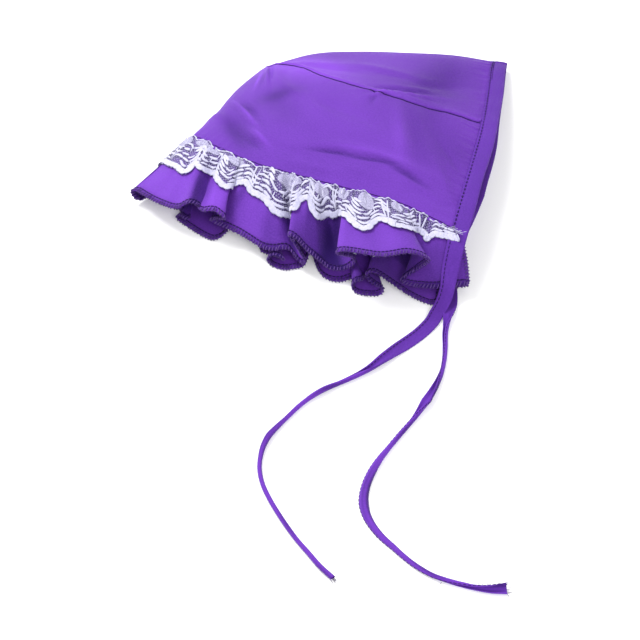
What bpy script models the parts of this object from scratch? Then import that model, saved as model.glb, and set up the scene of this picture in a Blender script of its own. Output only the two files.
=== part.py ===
"""Dog sun hat: a cloth pet bonnet lying on its side, with a lace-trimmed ruffle and two ties.

The hood is folded flat along its middle. Its lower side lies on the table and its upper side
is puffed up over the hollow for the head. Lengths in the tables are millimetres.
"""
import math

import bmesh
import bpy
import numpy as np

MM = 0.001

CLOTH_WALL = 1.2
RUFFLE_WALL = 1.0
LACE_WALL = 1.0
SEAM_GAP = 0.45
BINDING_WIDTH = 9.6
BINDING_THICKNESS = 2.4
TIE_STRAIGHT = 6.0

# The middle of the hat's own box on the table, which becomes the origin.
MIDDLE_X = 2.77
MIDDLE_Y = 0.24

# Edges of the hood as rows of (x, y, height of the upper side, height of the lower side).
FACE_EDGE = (
    # x, y, upper, lower
    (69.0, -63.5, 24.0, 3.2),
    (40.0, -49.0, 27.5, 3.2),
    (5.0, -36.5, 28.0, 3.2),
    (-33.0, -19.0, 25.0, 3.2),
    (-57.0, 0.0, 19.5, 3.2),
    (-69.0, 13.5, 13.5, 3.4),
    (-73.5, 18.0, 6.5, 6.5),
)
NECK_EDGE = (
    # x, y, upper, lower
    (69.0, -63.5, 24.0, 0.9),
    (75.5, -36.5, 25.0, 0.9),
    (82.0, -9.0, 23.5, 0.9),
    (88.0, 18.0, 20.5, 0.9),
    (92.5, 47.0, 14.5, 0.9),
    (96.5, 74.0, 9.0, 1.6),
    (98.5, 84.0, 4.8, 4.8),
)
NAPE_SHARE = 0.555
SEAM = (
    # x, y, upper, lower
    (88.0, 18.0, 20.5, 0.9),
    (71.0, 20.0, 26.5, 0.0),
    (54.0, 23.0, 30.0, 0.0),
    (32.0, 30.0, 32.5, 0.0),
    (14.0, 38.5, 31.5, 0.0),
    (0.0, 48.0, 28.5, 0.0),
    (-11.0, 60.5, 23.0, 0.0),
    (-23.5, 70.0, 15.5, 1.2),
    (-32.0, 76.0, 7.0, 7.0),
)
CROWN_RIDGE = (
    # x, y, upper, lower
    (98.5, 84.0, 4.8, 4.8),
    (76.0, 87.0, 6.5, 6.5),
    (50.0, 88.5, 7.0, 7.0),
    (22.0, 89.5, 7.0, 7.0),
    (-4.0, 87.5, 7.0, 7.0),
    (-32.0, 76.0, 7.0, 7.0),
)
FRONT_FOLD = (
    # x, y, upper, lower
    (-73.5, 18.0, 6.5, 6.5),
    (-59.0, 37.5, 7.0, 7.0),
    (-46.5, 58.5, 7.0, 7.0),
    (-32.0, 76.0, 7.0, 7.0),
)
CROWN_LIFT = 5.0
EDGE_FALL = 13.0

# Grid columns and rows of the hood's two sheets. The panel stops just short of its tip.
UPPER_BAND_COLUMNS = 14
LOWER_BAND_COLUMNS = 12
BAND_ROWS = 9
PANEL_COLUMNS = 13
PANEL_HALF_ROWS = 8
PANEL_REACH = 0.975
PANEL_WIDTH = 40.0
PANEL_TAPER = 0.9

# Dents and ridges of the upper side: middle, half length, half width, direction, height.
CREASES = (
    # x, y, half length, half width, degrees, height
    (-47.0, 25.0, 16.0, 5.0, -40.0, -3.2),
    (-37.0, 33.0, 14.0, 4.0, -45.0, 1.6),
    (-57.0, 30.0, 12.0, 4.0, -50.0, 1.4),
    (-28.0, 62.0, 11.0, 3.0, -80.0, -1.8),
    (28.0, 12.0, 42.0, 9.0, -20.0, -1.6),
    (44.0, 38.0, 24.0, 4.5, -8.0, 1.5),
    (72.0, 50.0, 14.0, 10.0, 60.0, -1.8),
    (60.0, -28.0, 18.0, 6.0, 15.0, -1.2),
)

# The ruffle's hem on the upper side, from the front fold to the near neck corner. A row is one
# fold: its crest runs from one place along the face edge to another, with a height and a pull
# towards the face at each, and then the cloth tucks under to a foot between two more places.
UPPER_FOLDS = (
    # crest from, crest to, heights, pulls, foot from, foot to, foot height
    (160.0, 139.5, 11.0, 15.0, 0.0, 0.5, 138.5, 136.5, 15.0),
    (134.0, 129.0, 19.0, 20.0, 1.0, 1.0, 129.5, 128.0, 13.0),
    (123.0, 112.5, 17.5, 20.0, 3.0, 1.0, 123.0, 80.0, 9.5),
    (81.0, 61.0, 24.0, 13.0, 1.0, -1.0, 60.5, 49.0, 9.0),
    (54.5, 9.5, 27.0, 27.5, 0.0, 8.0, 22.0, 3.0, 9.0),
)
# The hem on the lower side: a lobe lies on the table, and a low crest follows it.
LOWER_FOLDS = (
    # lobe from, lobe to, crest from, crest to, crest height, crest pull
    (157.0, 150.0, 151.0, 143.0, 5.0, 5.0),
    (141.5, 116.0, 117.5, 94.0, 6.0, 10.0),
    (90.0, 71.0, 74.0, 64.0, 6.0, 9.0),
    (64.0, 47.0, 50.0, 45.0, 5.5, 9.0),
    (46.0, 36.0, 39.0, 36.5, 6.0, 8.0),
)
LOBE_HEIGHT = 0.4
LAST_LOBE = 18.0
FRONT_TIP_HEIGHT = 7.5
NEAR_END = (1.0, 7.5, 0.0)
FAR_END = (0.5, 4.2, 0.0)
# Depth of the ruffle and the way it points, along the face edge from near end to far end.
RUFFLE_COURSE = (
    # share of the whole edge, depth, degrees in plan
    (0.00, 29.0, -100.0),
    (0.04, 34.5, -101.0),
    (0.12, 38.5, -103.0),
    (0.25, 38.5, -111.0),
    (0.42, 43.5, -122.0),
    (0.50, 47.5, -128.0),
    (0.58, 44.0, -122.0),
    (0.66, 40.0, -116.0),
    (0.75, 40.0, -111.0),
    (0.90, 37.5, -102.0),
    (0.96, 31.0, -84.0),
    (1.00, 24.0, -64.0),
)
RUFFLE_COLUMNS = 172
RUFFLE_ROWS = 5
# Powers of the depth below the gathers: how the rows are spaced, and how the cloth slides
# sideways into its folds and falls.
ROW_SPACING = 0.9
FOLD_SLIDE = 1.3
FOLD_FALL = 1.4

# Shares of the ruffle's depth that the lace covers, and its rows of gaps and its scallops.
LACE_TOP = 0.02
LACE_BOTTOM = 0.42
LACE_STANDOFF = 0.7
LACE_ROWS = 4
LACE_SHORT_COLUMNS = 9
GAP_EVERY = 4
SCALLOP_COLUMNS = 6
SCALLOP_DROP = 0.055

# Corners of a flat section with soft edges, in halves of its width and of its thickness.
FLAT_SECTION = (
    (1.0, 0.35),
    (0.72, 1.0),
    (-0.72, 1.0),
    (-1.0, 0.35),
    (-1.0, -0.35),
    (-0.72, -1.0),
    (0.72, -1.0),
    (1.0, -0.35),
)
BINDING_RINGS = 44
TIE_RINGS = 46

# Courses of the two ties on the table, from the neck corner to the cut end.
UPPER_TIE = (
    # x, y, height
    (73.4, -75.0, 23.6),
    (71.8, -80.0, 22.4),
    (70.0, -85.5, 20.4),
    (68.2, -90.0, 17.2),
    (66.4, -94.0, 12.6),
    (64.8, -97.5, 7.4),
    (61.8, -101.5, 3.0),
    (57.0, -108.0, 1.2),
    (51.0, -115.0, 0.8),
    (45.0, -120.5, 0.8),
    (39.0, -125.5, 0.8),
    (33.0, -131.0, 0.8),
    (25.5, -138.0, 0.9),
    (16.0, -144.0, 1.1),
    (5.0, -150.0, 1.1),
    (-4.0, -156.0, 1.1),
    (-10.0, -161.5, 1.1),
    (-15.5, -168.0, 1.1),
    (-21.0, -175.0, 1.1),
    (-25.5, -182.0, 1.1),
    (-28.5, -190.0, 1.1),
    (-29.5, -199.5, 1.1),
    (-28.0, -209.0, 1.1),
    (-24.5, -218.0, 1.1),
    (-20.5, -226.0, 1.1),
    (-16.0, -234.0, 1.1),
    (-11.0, -242.0, 1.1),
    (-5.5, -249.5, 1.1),
    (0.0, -257.0, 1.1),
    (6.0, -263.5, 1.0),
)
LOWER_TIE = (
    # x, y, height
    (75.0, -75.0, 1.2),
    (72.5, -90.0, 0.8),
    (69.5, -100.0, 0.8),
    (67.0, -108.0, 0.8),
    (65.0, -115.5, 0.9),
    (63.8, -123.5, 1.0),
    (63.0, -132.0, 1.1),
    (61.2, -141.0, 1.1),
    (58.0, -150.0, 1.1),
    (54.0, -158.0, 1.1),
    (48.5, -167.0, 1.1),
    (42.5, -175.5, 1.1),
    (36.5, -184.0, 1.1),
    (30.5, -193.0, 1.1),
    (25.5, -202.0, 1.1),
    (22.3, -210.5, 1.1),
    (21.0, -218.5, 1.1),
    (21.8, -226.0, 1.1),
    (24.5, -233.0, 1.1),
    (29.0, -240.0, 1.1),
    (34.5, -246.0, 1.1),
    (40.0, -252.0, 1.1),
    (46.0, -257.5, 1.1),
    (52.5, -262.0, 1.1),
    (59.5, -265.0, 1.0),
    (66.5, -267.3, 0.9),
    (73.0, -269.0, 0.8),
    (80.0, -269.8, 0.8),
    (87.0, -269.5, 0.8),
)
# Where a tie is flat and where it has rolled up narrow.
UPPER_TIE_WIDTHS = (
    # share of the length, width, thickness
    (0.00, 8.6, 1.8),
    (0.10, 7.0, 1.3),
    (0.36, 6.8, 1.2),
    (0.44, 3.4, 1.8),
    (1.00, 3.0, 1.8),
)
LOWER_TIE_WIDTHS = (
    # share of the length, width, thickness
    (0.00, 8.0, 1.8),
    (0.10, 7.0, 1.2),
    (0.20, 5.0, 1.4),
    (0.30, 3.4, 1.8),
    (0.58, 5.6, 1.4),
    (0.72, 3.2, 1.8),
    (0.90, 4.6, 1.4),
    (1.00, 5.4, 1.2),
)

# Steps of a smooth line between two rows of a table, and points of a resampled line.
LINE_STEPS = 40
HEM_STEPS = 16
LINE_POINTS = 200

# Base colours as red, green and blue.
PURPLE = (0.22, 0.07, 0.56)
DEEP_PURPLE = (0.18, 0.05, 0.48)
LACE_WHITE = (0.78, 0.78, 0.90)


def clear_scene():
    """Remove every object that the file opened with."""
    for item in list(bpy.data.objects):
        bpy.data.objects.remove(item, do_unlink=True)


def make_material(name, colour, roughness):
    """A Principled material of one colour for a non-metal."""
    material = bpy.data.materials.new(name)
    material.use_nodes = True
    shader = material.node_tree.nodes["Principled BSDF"]
    shader.inputs["Base Color"].default_value = (*colour, 1.0)
    shader.inputs["Roughness"].default_value = roughness
    shader.inputs["Metallic"].default_value = 0.0
    return material


def smooth_line(rows, steps=LINE_STEPS):
    """Catmull-Rom curve through rows of numbers, as a dense list of points."""
    points = np.array(rows, float)
    ends = np.vstack([2 * points[0] - points[1], points, 2 * points[-1] - points[-2]])
    t = np.linspace(0.0, 1.0, steps, endpoint=False)[:, None]
    pieces = []
    for k in range(1, len(ends) - 2):
        a, b, c, d = ends[k - 1], ends[k], ends[k + 1], ends[k + 2]
        cubic = -a + 3 * b - 3 * c + d
        square = 2 * a - 5 * b + 4 * c - d
        pieces.append(0.5 * (2 * b + (c - a) * t + square * t ** 2 + cubic * t ** 3))
    return np.vstack(pieces + [points[-1:]])


def length_along(line):
    """Distance from the first point of a line to each of its points."""
    steps = np.linalg.norm(np.diff(line, axis=0), axis=1)
    return np.concatenate([[0.0], np.cumsum(steps)])


def at_distance(line, distances):
    """Points of a line at given distances along it, carried straight on past its ends."""
    along = length_along(line)
    distances = np.asarray(distances, float)
    columns = [np.interp(distances, along, line[:, k]) for k in range(line.shape[1])]
    points = np.stack(columns, axis=-1)
    first = (line[1] - line[0]) / np.linalg.norm(line[1] - line[0])
    last = (line[-1] - line[-2]) / np.linalg.norm(line[-1] - line[-2])
    points += np.minimum(distances, 0.0)[..., None] * first
    points += np.maximum(distances - along[-1], 0.0)[..., None] * last
    return points


def at_share(line, shares):
    """Points of a line at given shares of its length."""
    return at_distance(line, np.asarray(shares) * length_along(line)[-1])


def edge_line(rows, side):
    """Dense line of one edge on the upper (0) or the lower (1) side of the hood."""
    return smooth_line([(x, y, heights[side]) for x, y, *heights in rows])


def part_of_line(line, start, end):
    """The stretch of a line between two shares of its length."""
    return at_share(line, np.linspace(start, end, LINE_POINTS))


def filled_patch(bottom, top, left, right, u, v):
    """Coons patch between four lines: u runs along bottom and top, v along left and right."""
    u = np.asarray(u)[:, None, None]
    v = np.asarray(v)[None, :, None]
    b = at_share(bottom, u[:, 0, 0])[:, None, :]
    t = at_share(top, u[:, 0, 0])[:, None, :]
    a = at_share(left, v[0, :, 0])[None, :, :]
    c = at_share(right, v[0, :, 0])[None, :, :]
    corners = (1 - u) * (1 - v) * bottom[0] + u * (1 - v) * bottom[-1]
    corners = corners + (1 - u) * v * top[0] + u * v * top[-1]
    return (1 - v) * b + v * t + (1 - u) * a + u * c - corners


def plan_distance(points, line):
    """Distance in plan from each grid point to a line."""
    gap = points[..., None, :2] - line[None, None, :, :2]
    return np.sqrt((gap ** 2).sum(axis=-1)).min(axis=-1)


def lay_on_table(points, fold, face, neck):
    """Heights of the lower side: flat on the table, rounded up at the fold and the edges."""
    reach = plan_distance(points, fold)
    rise = fold[:, 2].mean()
    share = np.clip(reach / rise, 0.0, 1.0)
    height = rise * (1.0 - np.sqrt(1.0 - (1.0 - share) ** 2))
    for edge in (face, neck):
        if edge is None:
            continue
        near = np.clip(1.0 - plan_distance(points, edge) / EDGE_FALL, 0.0, 1.0)
        height = np.maximum(height, edge[len(edge) // 2, 2] * near ** 2)
    laid = points.copy()
    laid[..., 2] = height
    return laid


def add_creases(points):
    """Raise or lower the upper side along each row of the creases table."""
    shaped = points.copy()
    for x, y, half_length, half_width, degrees, height in CREASES:
        turn = math.radians(degrees)
        along = (points[..., 0] - x) * math.cos(turn) + (points[..., 1] - y) * math.sin(turn)
        across = (points[..., 1] - y) * math.cos(turn) - (points[..., 0] - x) * math.sin(turn)
        bell = np.exp(-(along / half_length) ** 2 - (across / half_width) ** 2)
        shaped[..., 2] += height * bell
    return shaped


def place(points):
    """Table millimetres to metres from the origin."""
    return (np.asarray(points) - (MIDDLE_X, MIDDLE_Y, 0.0)) * MM


def add_mesh(name, points, faces, material, collection):
    """A smooth-shaded mesh object from points in table millimetres."""
    mesh = bpy.data.meshes.new(name)
    mesh.from_pydata([tuple(p) for p in place(points)], [], faces)
    mesh.materials.append(material)
    mesh.shade_smooth()
    item = bpy.data.objects.new(name, mesh)
    collection.objects.link(item)
    return item


def add_shell(name, grid, wall, material, collection, turned=False, open_cells=()):
    """A grid of points as a sheet of cloth, thickened inwards by its wall."""
    columns, rows = grid.shape[:2]
    number = np.arange(columns * rows).reshape(columns, rows)
    faces = []
    for i in range(columns - 1):
        for j in range(rows - 1):
            if (i, j) in open_cells:
                continue
            ring = [number[i, j], number[i, j + 1], number[i + 1, j + 1], number[i + 1, j]]
            if turned:
                ring.reverse()
            faces.append([int(k) for k in ring])
    item = add_mesh(name, grid.reshape(-1, 3), faces, material, collection)
    solid = item.modifiers.new("wall", "SOLIDIFY")
    solid.thickness = wall * MM
    solid.offset = -1.0
    solid.use_rim = True
    return item


def add_loft(name, rings, material, collection):
    """A closed body through a row of closed rings, with its ends filled."""
    count, around = rings.shape[:2]
    faces = []
    for i in range(count - 1):
        for j in range(around):
            k = (j + 1) % around
            low, high = i * around, (i + 1) * around
            faces.append([low + j, low + k, high + k, high + j])
    faces.append(list(range(around)))
    faces.append([(count - 1) * around + j for j in range(around)])
    item = add_mesh(name, rings.reshape(-1, 3), faces, material, collection)
    shape = bmesh.new()
    shape.from_mesh(item.data)
    bmesh.ops.recalc_face_normals(shape, faces=shape.faces)
    shape.to_mesh(item.data)
    shape.free()
    item.data.shade_smooth()
    return item


def flat_rings(path, across, widths, thicknesses):
    """Eight-sided flat sections along a path: across is the way each section is wide."""
    ahead = np.gradient(path, axis=0)
    ahead /= np.linalg.norm(ahead, axis=1)[:, None]
    across = across - (across * ahead).sum(axis=1)[:, None] * ahead
    across /= np.linalg.norm(across, axis=1)[:, None]
    upward = np.cross(ahead, across)
    rings = []
    for a, b in FLAT_SECTION:
        side = a * across * widths[:, None] / 2
        rings.append(path + side + b * upward * thicknesses[:, None] / 2)
    return np.stack(rings, axis=1)


def fold_line():
    """The middle fold of the hood, from the face edge over the crown to the nape."""
    return np.vstack([edge_line(FRONT_FOLD, 0), edge_line(CROWN_RIDGE, 0)[::-1]])


def band_patch(side, u, v):
    """The side band on one side: u from the neck to the front fold, v from face to seam."""
    neck = part_of_line(edge_line(NECK_EDGE, side), 0.0, NAPE_SHARE)
    face, seam = edge_line(FACE_EDGE, side), edge_line(SEAM, side)
    seam[0] = neck[-1]
    points = filled_patch(face, seam, neck, edge_line(FRONT_FOLD, side), u, v)
    if side == 1:
        return lay_on_table(points, fold_line(), face, neck)
    crown = np.outer(u * (1 - u), v * (1 - v)) * 16 * CROWN_LIFT
    points[..., 2] += crown
    return add_creases(points)


def panel_patch(side, u, v):
    """Half of the back panel: u from the neck to its tip, v from the seam to the ridge."""
    neck = part_of_line(edge_line(NECK_EDGE, side), NAPE_SHARE, 1.0)
    seam, ridge = edge_line(SEAM, side), edge_line(CROWN_RIDGE, side)
    seam[0] = neck[0]
    tip = np.repeat(ridge[-1:], 3, axis=0) + np.linspace(0, 1e-6, 3)[:, None]
    points = filled_patch(seam, ridge, neck, tip, u, v)
    if side == 1:
        return lay_on_table(points, fold_line(), None, neck)
    return add_creases(points)


def closing_up(count):
    """Shares from 0 to 1 that lie closer together towards 1."""
    return np.sin(np.linspace(0.0, 1.0, count) * math.pi / 2)


def make_side_band(material, collection):
    """The band is one sheet, folded in the middle where it runs over the head."""
    width = plan_distance(band_patch(0, np.array([0.5]), np.array([0.0])), edge_line(SEAM, 0))
    v = np.linspace(0.0, 1.0, BAND_ROWS) * (1.0 - SEAM_GAP / 2 / width[0, 0])
    upper = band_patch(0, closing_up(UPPER_BAND_COLUMNS), v)
    lower = band_patch(1, closing_up(LOWER_BAND_COLUMNS), v)[::-1]
    grid = np.vstack([upper, lower[1:]])
    return add_shell("side_band", grid, CLOTH_WALL, material, collection)


def make_back_panel(material, collection):
    """The panel is one sheet, folded down its middle, that narrows to a tip at the crown."""
    columns = []
    for share in np.linspace(0.0, PANEL_REACH, PANEL_COLUMNS):
        first = SEAM_GAP / 2 / (PANEL_WIDTH * (1.0 - PANEL_TAPER * share))
        v = first + (1.0 - first) * closing_up(PANEL_HALF_ROWS)
        upper = panel_patch(0, np.array([share]), v)[0]
        lower = panel_patch(1, np.array([share]), v)[0][::-1]
        columns.append(np.vstack([upper, lower[1:]]))
    return add_shell("back_panel", np.array(columns), CLOTH_WALL, material, collection)


def whole_edge(rows):
    """An edge from its near end over the fold to its far end, as one line."""
    return np.vstack([edge_line(rows, 0), edge_line(rows, 1)[::-1][1:]])


def face_line():
    """The face edge of the band, near side, front fold and far side."""
    return whole_edge(FACE_EDGE)


def hem_line():
    """The hem as (place along the whole edge, height, pull), and its share up to the tip."""
    half = length_along(edge_line(FACE_EDGE, 0))[-1]
    whole = length_along(face_line())[-1]
    rows = [(half, FRONT_TIP_HEIGHT, 0.0)]
    for start, end, high, low, pull, last_pull, foot_start, foot_end, foot in UPPER_FOLDS:
        rows += [(start, high, pull), (end, low, last_pull)]
        rows += [(foot_start, foot, 0.0), (foot_end, foot, 0.0)]
    rows[-1] = NEAR_END
    upper = smooth_line(rows[::-1], HEM_STEPS)
    rows = [(half, FRONT_TIP_HEIGHT, 0.0)]
    for start, end, crest_start, crest_end, high, pull in LOWER_FOLDS:
        rows += [(whole - start, LOBE_HEIGHT, 0.0), (whole - end, LOBE_HEIGHT, 0.0)]
        rows += [(whole - crest_start, high, pull), (whole - crest_end, high, pull)]
    rows += [(whole - LAST_LOBE, LOBE_HEIGHT, 0.0), (whole - FAR_END[0], *FAR_END[1:])]
    lower = smooth_line(rows, HEM_STEPS)
    upper_length, lower_length = length_along(upper)[-1], length_along(lower)[-1]
    return np.vstack([upper, lower[1:]]), upper_length / (upper_length + lower_length)


def ruffle_surface(shares, down):
    """Points of the ruffle at shares of its hem and at shares of its depth below the gathers.

    The gathered edge follows the face edge, the hem follows the table of folds, and the cloth
    between them runs out and down in one smooth curve.
    """
    edge = face_line()
    hem, tip_share = hem_line()
    half, whole = length_along(edge_line(FACE_EDGE, 0))[-1], length_along(edge)[-1]
    place_hem, height_hem, pull = np.moveaxis(at_share(hem, shares), -1, 0)
    course = np.array(RUFFLE_COURSE)
    full = np.interp(place_hem / whole, course[:, 0], course[:, 1])
    turn = np.radians(np.interp(place_hem / whole, course[:, 0], course[:, 2]))
    way = np.stack([np.cos(turn), np.sin(turn)], axis=-1)
    edge_height = at_distance(edge, place_hem)[:, 2]
    reach = np.sqrt(np.maximum(full ** 2 - (edge_height - height_hem) ** 2, 1.0))
    down = np.asarray(down)[None, :]
    gathered = np.interp(shares, [0.0, tip_share, 1.0], [0.0, half, whole])
    along = gathered[:, None] + (place_hem - gathered)[:, None] * down ** FOLD_SLIDE
    base = at_distance(edge, along)
    start_height = at_distance(edge, gathered)[:, 2]
    out = SEAM_GAP + (reach - pull)[:, None] * down
    points = np.empty(base.shape)
    points[..., :2] = base[..., :2] + way[:, None, :] * out[..., None]
    points[..., 2] = start_height[:, None]
    points[..., 2] += (height_hem - start_height)[:, None] * down ** FOLD_FALL
    points[..., 2] = np.maximum(points[..., 2], LOBE_HEIGHT)
    return points


def make_face_ruffle(material, collection):
    """One gathered strip from the near neck corner round the face to the far one."""
    shares = np.linspace(0.0, 1.0, RUFFLE_COLUMNS)
    grid = ruffle_surface(shares, np.linspace(0.0, 1.0, RUFFLE_ROWS + 1) ** ROW_SPACING)
    return add_shell("face_ruffle", grid, RUFFLE_WALL, material, collection, turned=True)


def make_lace_trim(material, collection):
    """A pierced strip that lies on the outside of the ruffle, with a scalloped lower edge."""
    shares = np.linspace(0.0, 1.0, RUFFLE_COLUMNS)[1:-LACE_SHORT_COLUMNS]
    down = np.linspace(LACE_TOP, LACE_BOTTOM, LACE_ROWS + 1)
    scallop = np.abs(np.sin(np.arange(len(shares)) * math.pi / SCALLOP_COLUMNS))
    grid = ruffle_surface(shares, down)
    low = ruffle_surface(shares, down + SCALLOP_DROP)
    grid[:, -1] += (low[:, -1] - grid[:, -1]) * scallop[:, None]
    outward = np.cross(np.gradient(grid, axis=0), np.gradient(grid, axis=1))
    outward /= np.linalg.norm(outward, axis=-1)[..., None]
    grid = grid + outward * (LACE_STANDOFF + LACE_WALL)
    grid[..., 2] = np.maximum(grid[..., 2], LOBE_HEIGHT)
    gaps = {(i, 1) for i in range(2, len(shares) - 2, GAP_EVERY)}
    gaps |= {(i + GAP_EVERY // 2, 2) for i in range(2, len(shares) - 4, GAP_EVERY)}
    return add_shell("lace_trim", grid, LACE_WALL, material, collection, True, gaps)


def binding_path():
    """Middle line of the binding outside the neck edge, and the way it is wide."""
    edge = at_share(whole_edge(NECK_EDGE), np.linspace(0.0, 1.0, BINDING_RINGS))
    ahead = np.gradient(edge, axis=0)
    plan = part_of_line(edge_line(NECK_EDGE, 0), 0.0, 1.0)
    along = np.gradient(plan, axis=0)[:, :2]
    closest = np.argmin(((edge[:, None, :2] - plan[None, :, :2]) ** 2).sum(axis=-1), axis=1)
    wide = np.zeros(edge.shape)
    wide[:, 0], wide[:, 1] = along[closest, 1], -along[closest, 0]
    wide /= np.linalg.norm(wide, axis=1)[:, None]
    outward = np.cross(wide, ahead)
    outward /= np.linalg.norm(outward, axis=1)[:, None]
    shift = wide * (SEAM_GAP + BINDING_WIDTH / 2)
    return edge + shift - outward * CLOTH_WALL / 2, wide


def make_neck_binding(material, collection):
    """The folded casing along the neck edge, from the near corner over the nape to the far."""
    path, wide = binding_path()
    widths = np.full(len(path), BINDING_WIDTH)
    thicknesses = np.full(len(path), BINDING_THICKNESS)
    rings = flat_rings(path, wide, widths, thicknesses)
    return add_loft("neck_binding", rings, material, collection)


def make_tie(name, route, widths, binding_end, material, collection):
    """A flat strip that runs straight on from the binding's end and lies on the table."""
    last, before = binding_end
    onward = (last - before) / np.linalg.norm(last - before)
    start = np.stack([last + onward * 2 * SEAM_GAP, last + onward * TIE_STRAIGHT])
    path = at_share(smooth_line(np.vstack([start, route])), np.linspace(0.0, 1.0, TIE_RINGS))
    table = np.array(widths)
    shares = length_along(path) / length_along(path)[-1]
    ahead = np.gradient(path, axis=0)
    across = np.stack([-ahead[:, 1], ahead[:, 0], np.zeros(len(path))], axis=-1)
    wide = np.interp(shares, table[:, 0], table[:, 1])
    thick = np.interp(shares, table[:, 0], table[:, 2])
    return add_loft(name, flat_rings(path, across, wide, thick), material, collection)


def make_hat():
    """Build every piece into one collection named for the object."""
    clear_scene()
    collection = bpy.data.collections.new("dog_sun_hat")
    bpy.context.scene.collection.children.link(collection)
    cloth = make_material("purple_cloth", PURPLE, 0.75)
    ruffle_cloth = make_material("ruffle_cloth", PURPLE, 0.72)
    binding_cloth = make_material("binding_cloth", DEEP_PURPLE, 0.75)
    lace = make_material("white_lace", LACE_WHITE, 0.8)
    make_side_band(cloth, collection)
    make_back_panel(cloth, collection)
    make_face_ruffle(ruffle_cloth, collection)
    make_lace_trim(lace, collection)
    make_neck_binding(binding_cloth, collection)
    path, _ = binding_path()
    make_tie("tie_upper", UPPER_TIE, UPPER_TIE_WIDTHS, path[:2], binding_cloth, collection)
    make_tie("tie_lower", LOWER_TIE, LOWER_TIE_WIDTHS, path[:-3:-1], binding_cloth, collection)


make_hat()
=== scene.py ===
"""Looks of the dog sun hat: cloth, lace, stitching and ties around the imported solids.

Shapes are worked out in table millimetres: the hat lies on z = 0, its face opening towards -y.
"""
import math
from collections import namedtuple

import bpy
import numpy as np
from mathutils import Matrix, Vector


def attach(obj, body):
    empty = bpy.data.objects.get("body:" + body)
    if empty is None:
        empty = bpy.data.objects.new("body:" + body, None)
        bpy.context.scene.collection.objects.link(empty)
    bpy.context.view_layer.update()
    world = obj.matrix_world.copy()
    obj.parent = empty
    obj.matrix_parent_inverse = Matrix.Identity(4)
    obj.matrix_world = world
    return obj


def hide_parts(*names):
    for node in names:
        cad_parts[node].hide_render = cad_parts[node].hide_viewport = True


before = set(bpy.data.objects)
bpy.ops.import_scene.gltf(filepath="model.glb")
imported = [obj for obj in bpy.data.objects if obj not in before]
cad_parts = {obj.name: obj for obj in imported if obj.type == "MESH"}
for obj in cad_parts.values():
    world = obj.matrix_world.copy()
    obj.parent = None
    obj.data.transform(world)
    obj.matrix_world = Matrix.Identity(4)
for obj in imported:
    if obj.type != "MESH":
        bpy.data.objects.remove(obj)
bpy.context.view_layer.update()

# Side band

# The wide strip of woven cloth that runs over the head from one side of the neck to the other.
# It is cut to a curve, folded in the middle where the hat lies flat, and sewn to the back panel.

MM = 0.001
# The middle of the hat's own footprint, which is the origin of the frame.
FRAME_MIDDLE = (2.77, 0.24, 0.0)
CLOTH_WALL = 0.6
# Edges of the hood: x, y, height of the upper side, height of the lower side.
FACE_EDGE = (
    (67.3, -63.2, 24.0, 3.2),
    (40.0, -49.0, 27.5, 3.2),
    (5.0, -36.5, 28.0, 3.2),
    (-33.0, -19.0, 25.0, 3.2),
    (-57.0, 0.0, 19.5, 3.2),
    (-69.0, 13.5, 13.5, 3.4),
    (-73.5, 18.0, 6.5, 6.5),
)
NECK_EDGE = (
    (67.3, -63.2, 24.0, 0.9),
    (74.2, -36.5, 25.0, 0.9),
    (81.2, -9.0, 23.5, 0.9),
    (87.2, 18.0, 20.5, 0.9),
    (91.7, 47.0, 14.5, 0.9),
    (95.3, 74.0, 9.0, 1.6),
    (97.2, 84.0, 4.8, 4.8),
)
NAPE_SHARE = 0.555
SEAM = (
    (87.2, 18.0, 20.5, 0.9),
    (71.0, 20.0, 26.5, 0.0),
    (54.0, 23.0, 30.0, 0.0),
    (32.0, 30.0, 32.5, 0.0),
    (14.0, 38.5, 31.5, 0.0),
    (0.0, 48.0, 28.5, 0.0),
    (-11.0, 60.5, 23.0, 0.0),
    (-23.5, 70.0, 15.5, 1.2),
    (-32.0, 76.0, 7.0, 7.0),
)
CROWN_RIDGE = (
    (97.2, 84.0, 4.8, 4.8),
    (76.0, 87.0, 6.5, 6.5),
    (50.0, 88.5, 7.0, 7.0),
    (22.0, 89.5, 7.0, 7.0),
    (-4.0, 87.5, 7.0, 7.0),
    (-32.0, 76.0, 7.0, 7.0),
)
FRONT_FOLD = (
    (-73.5, 18.0, 6.5, 6.5),
    (-59.0, 37.5, 7.0, 7.0),
    (-46.5, 58.5, 7.0, 7.0),
    (-32.0, 76.0, 7.0, 7.0),
)
CROWN_LIFT = 5.0
EDGE_FALL = 13.0
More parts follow.
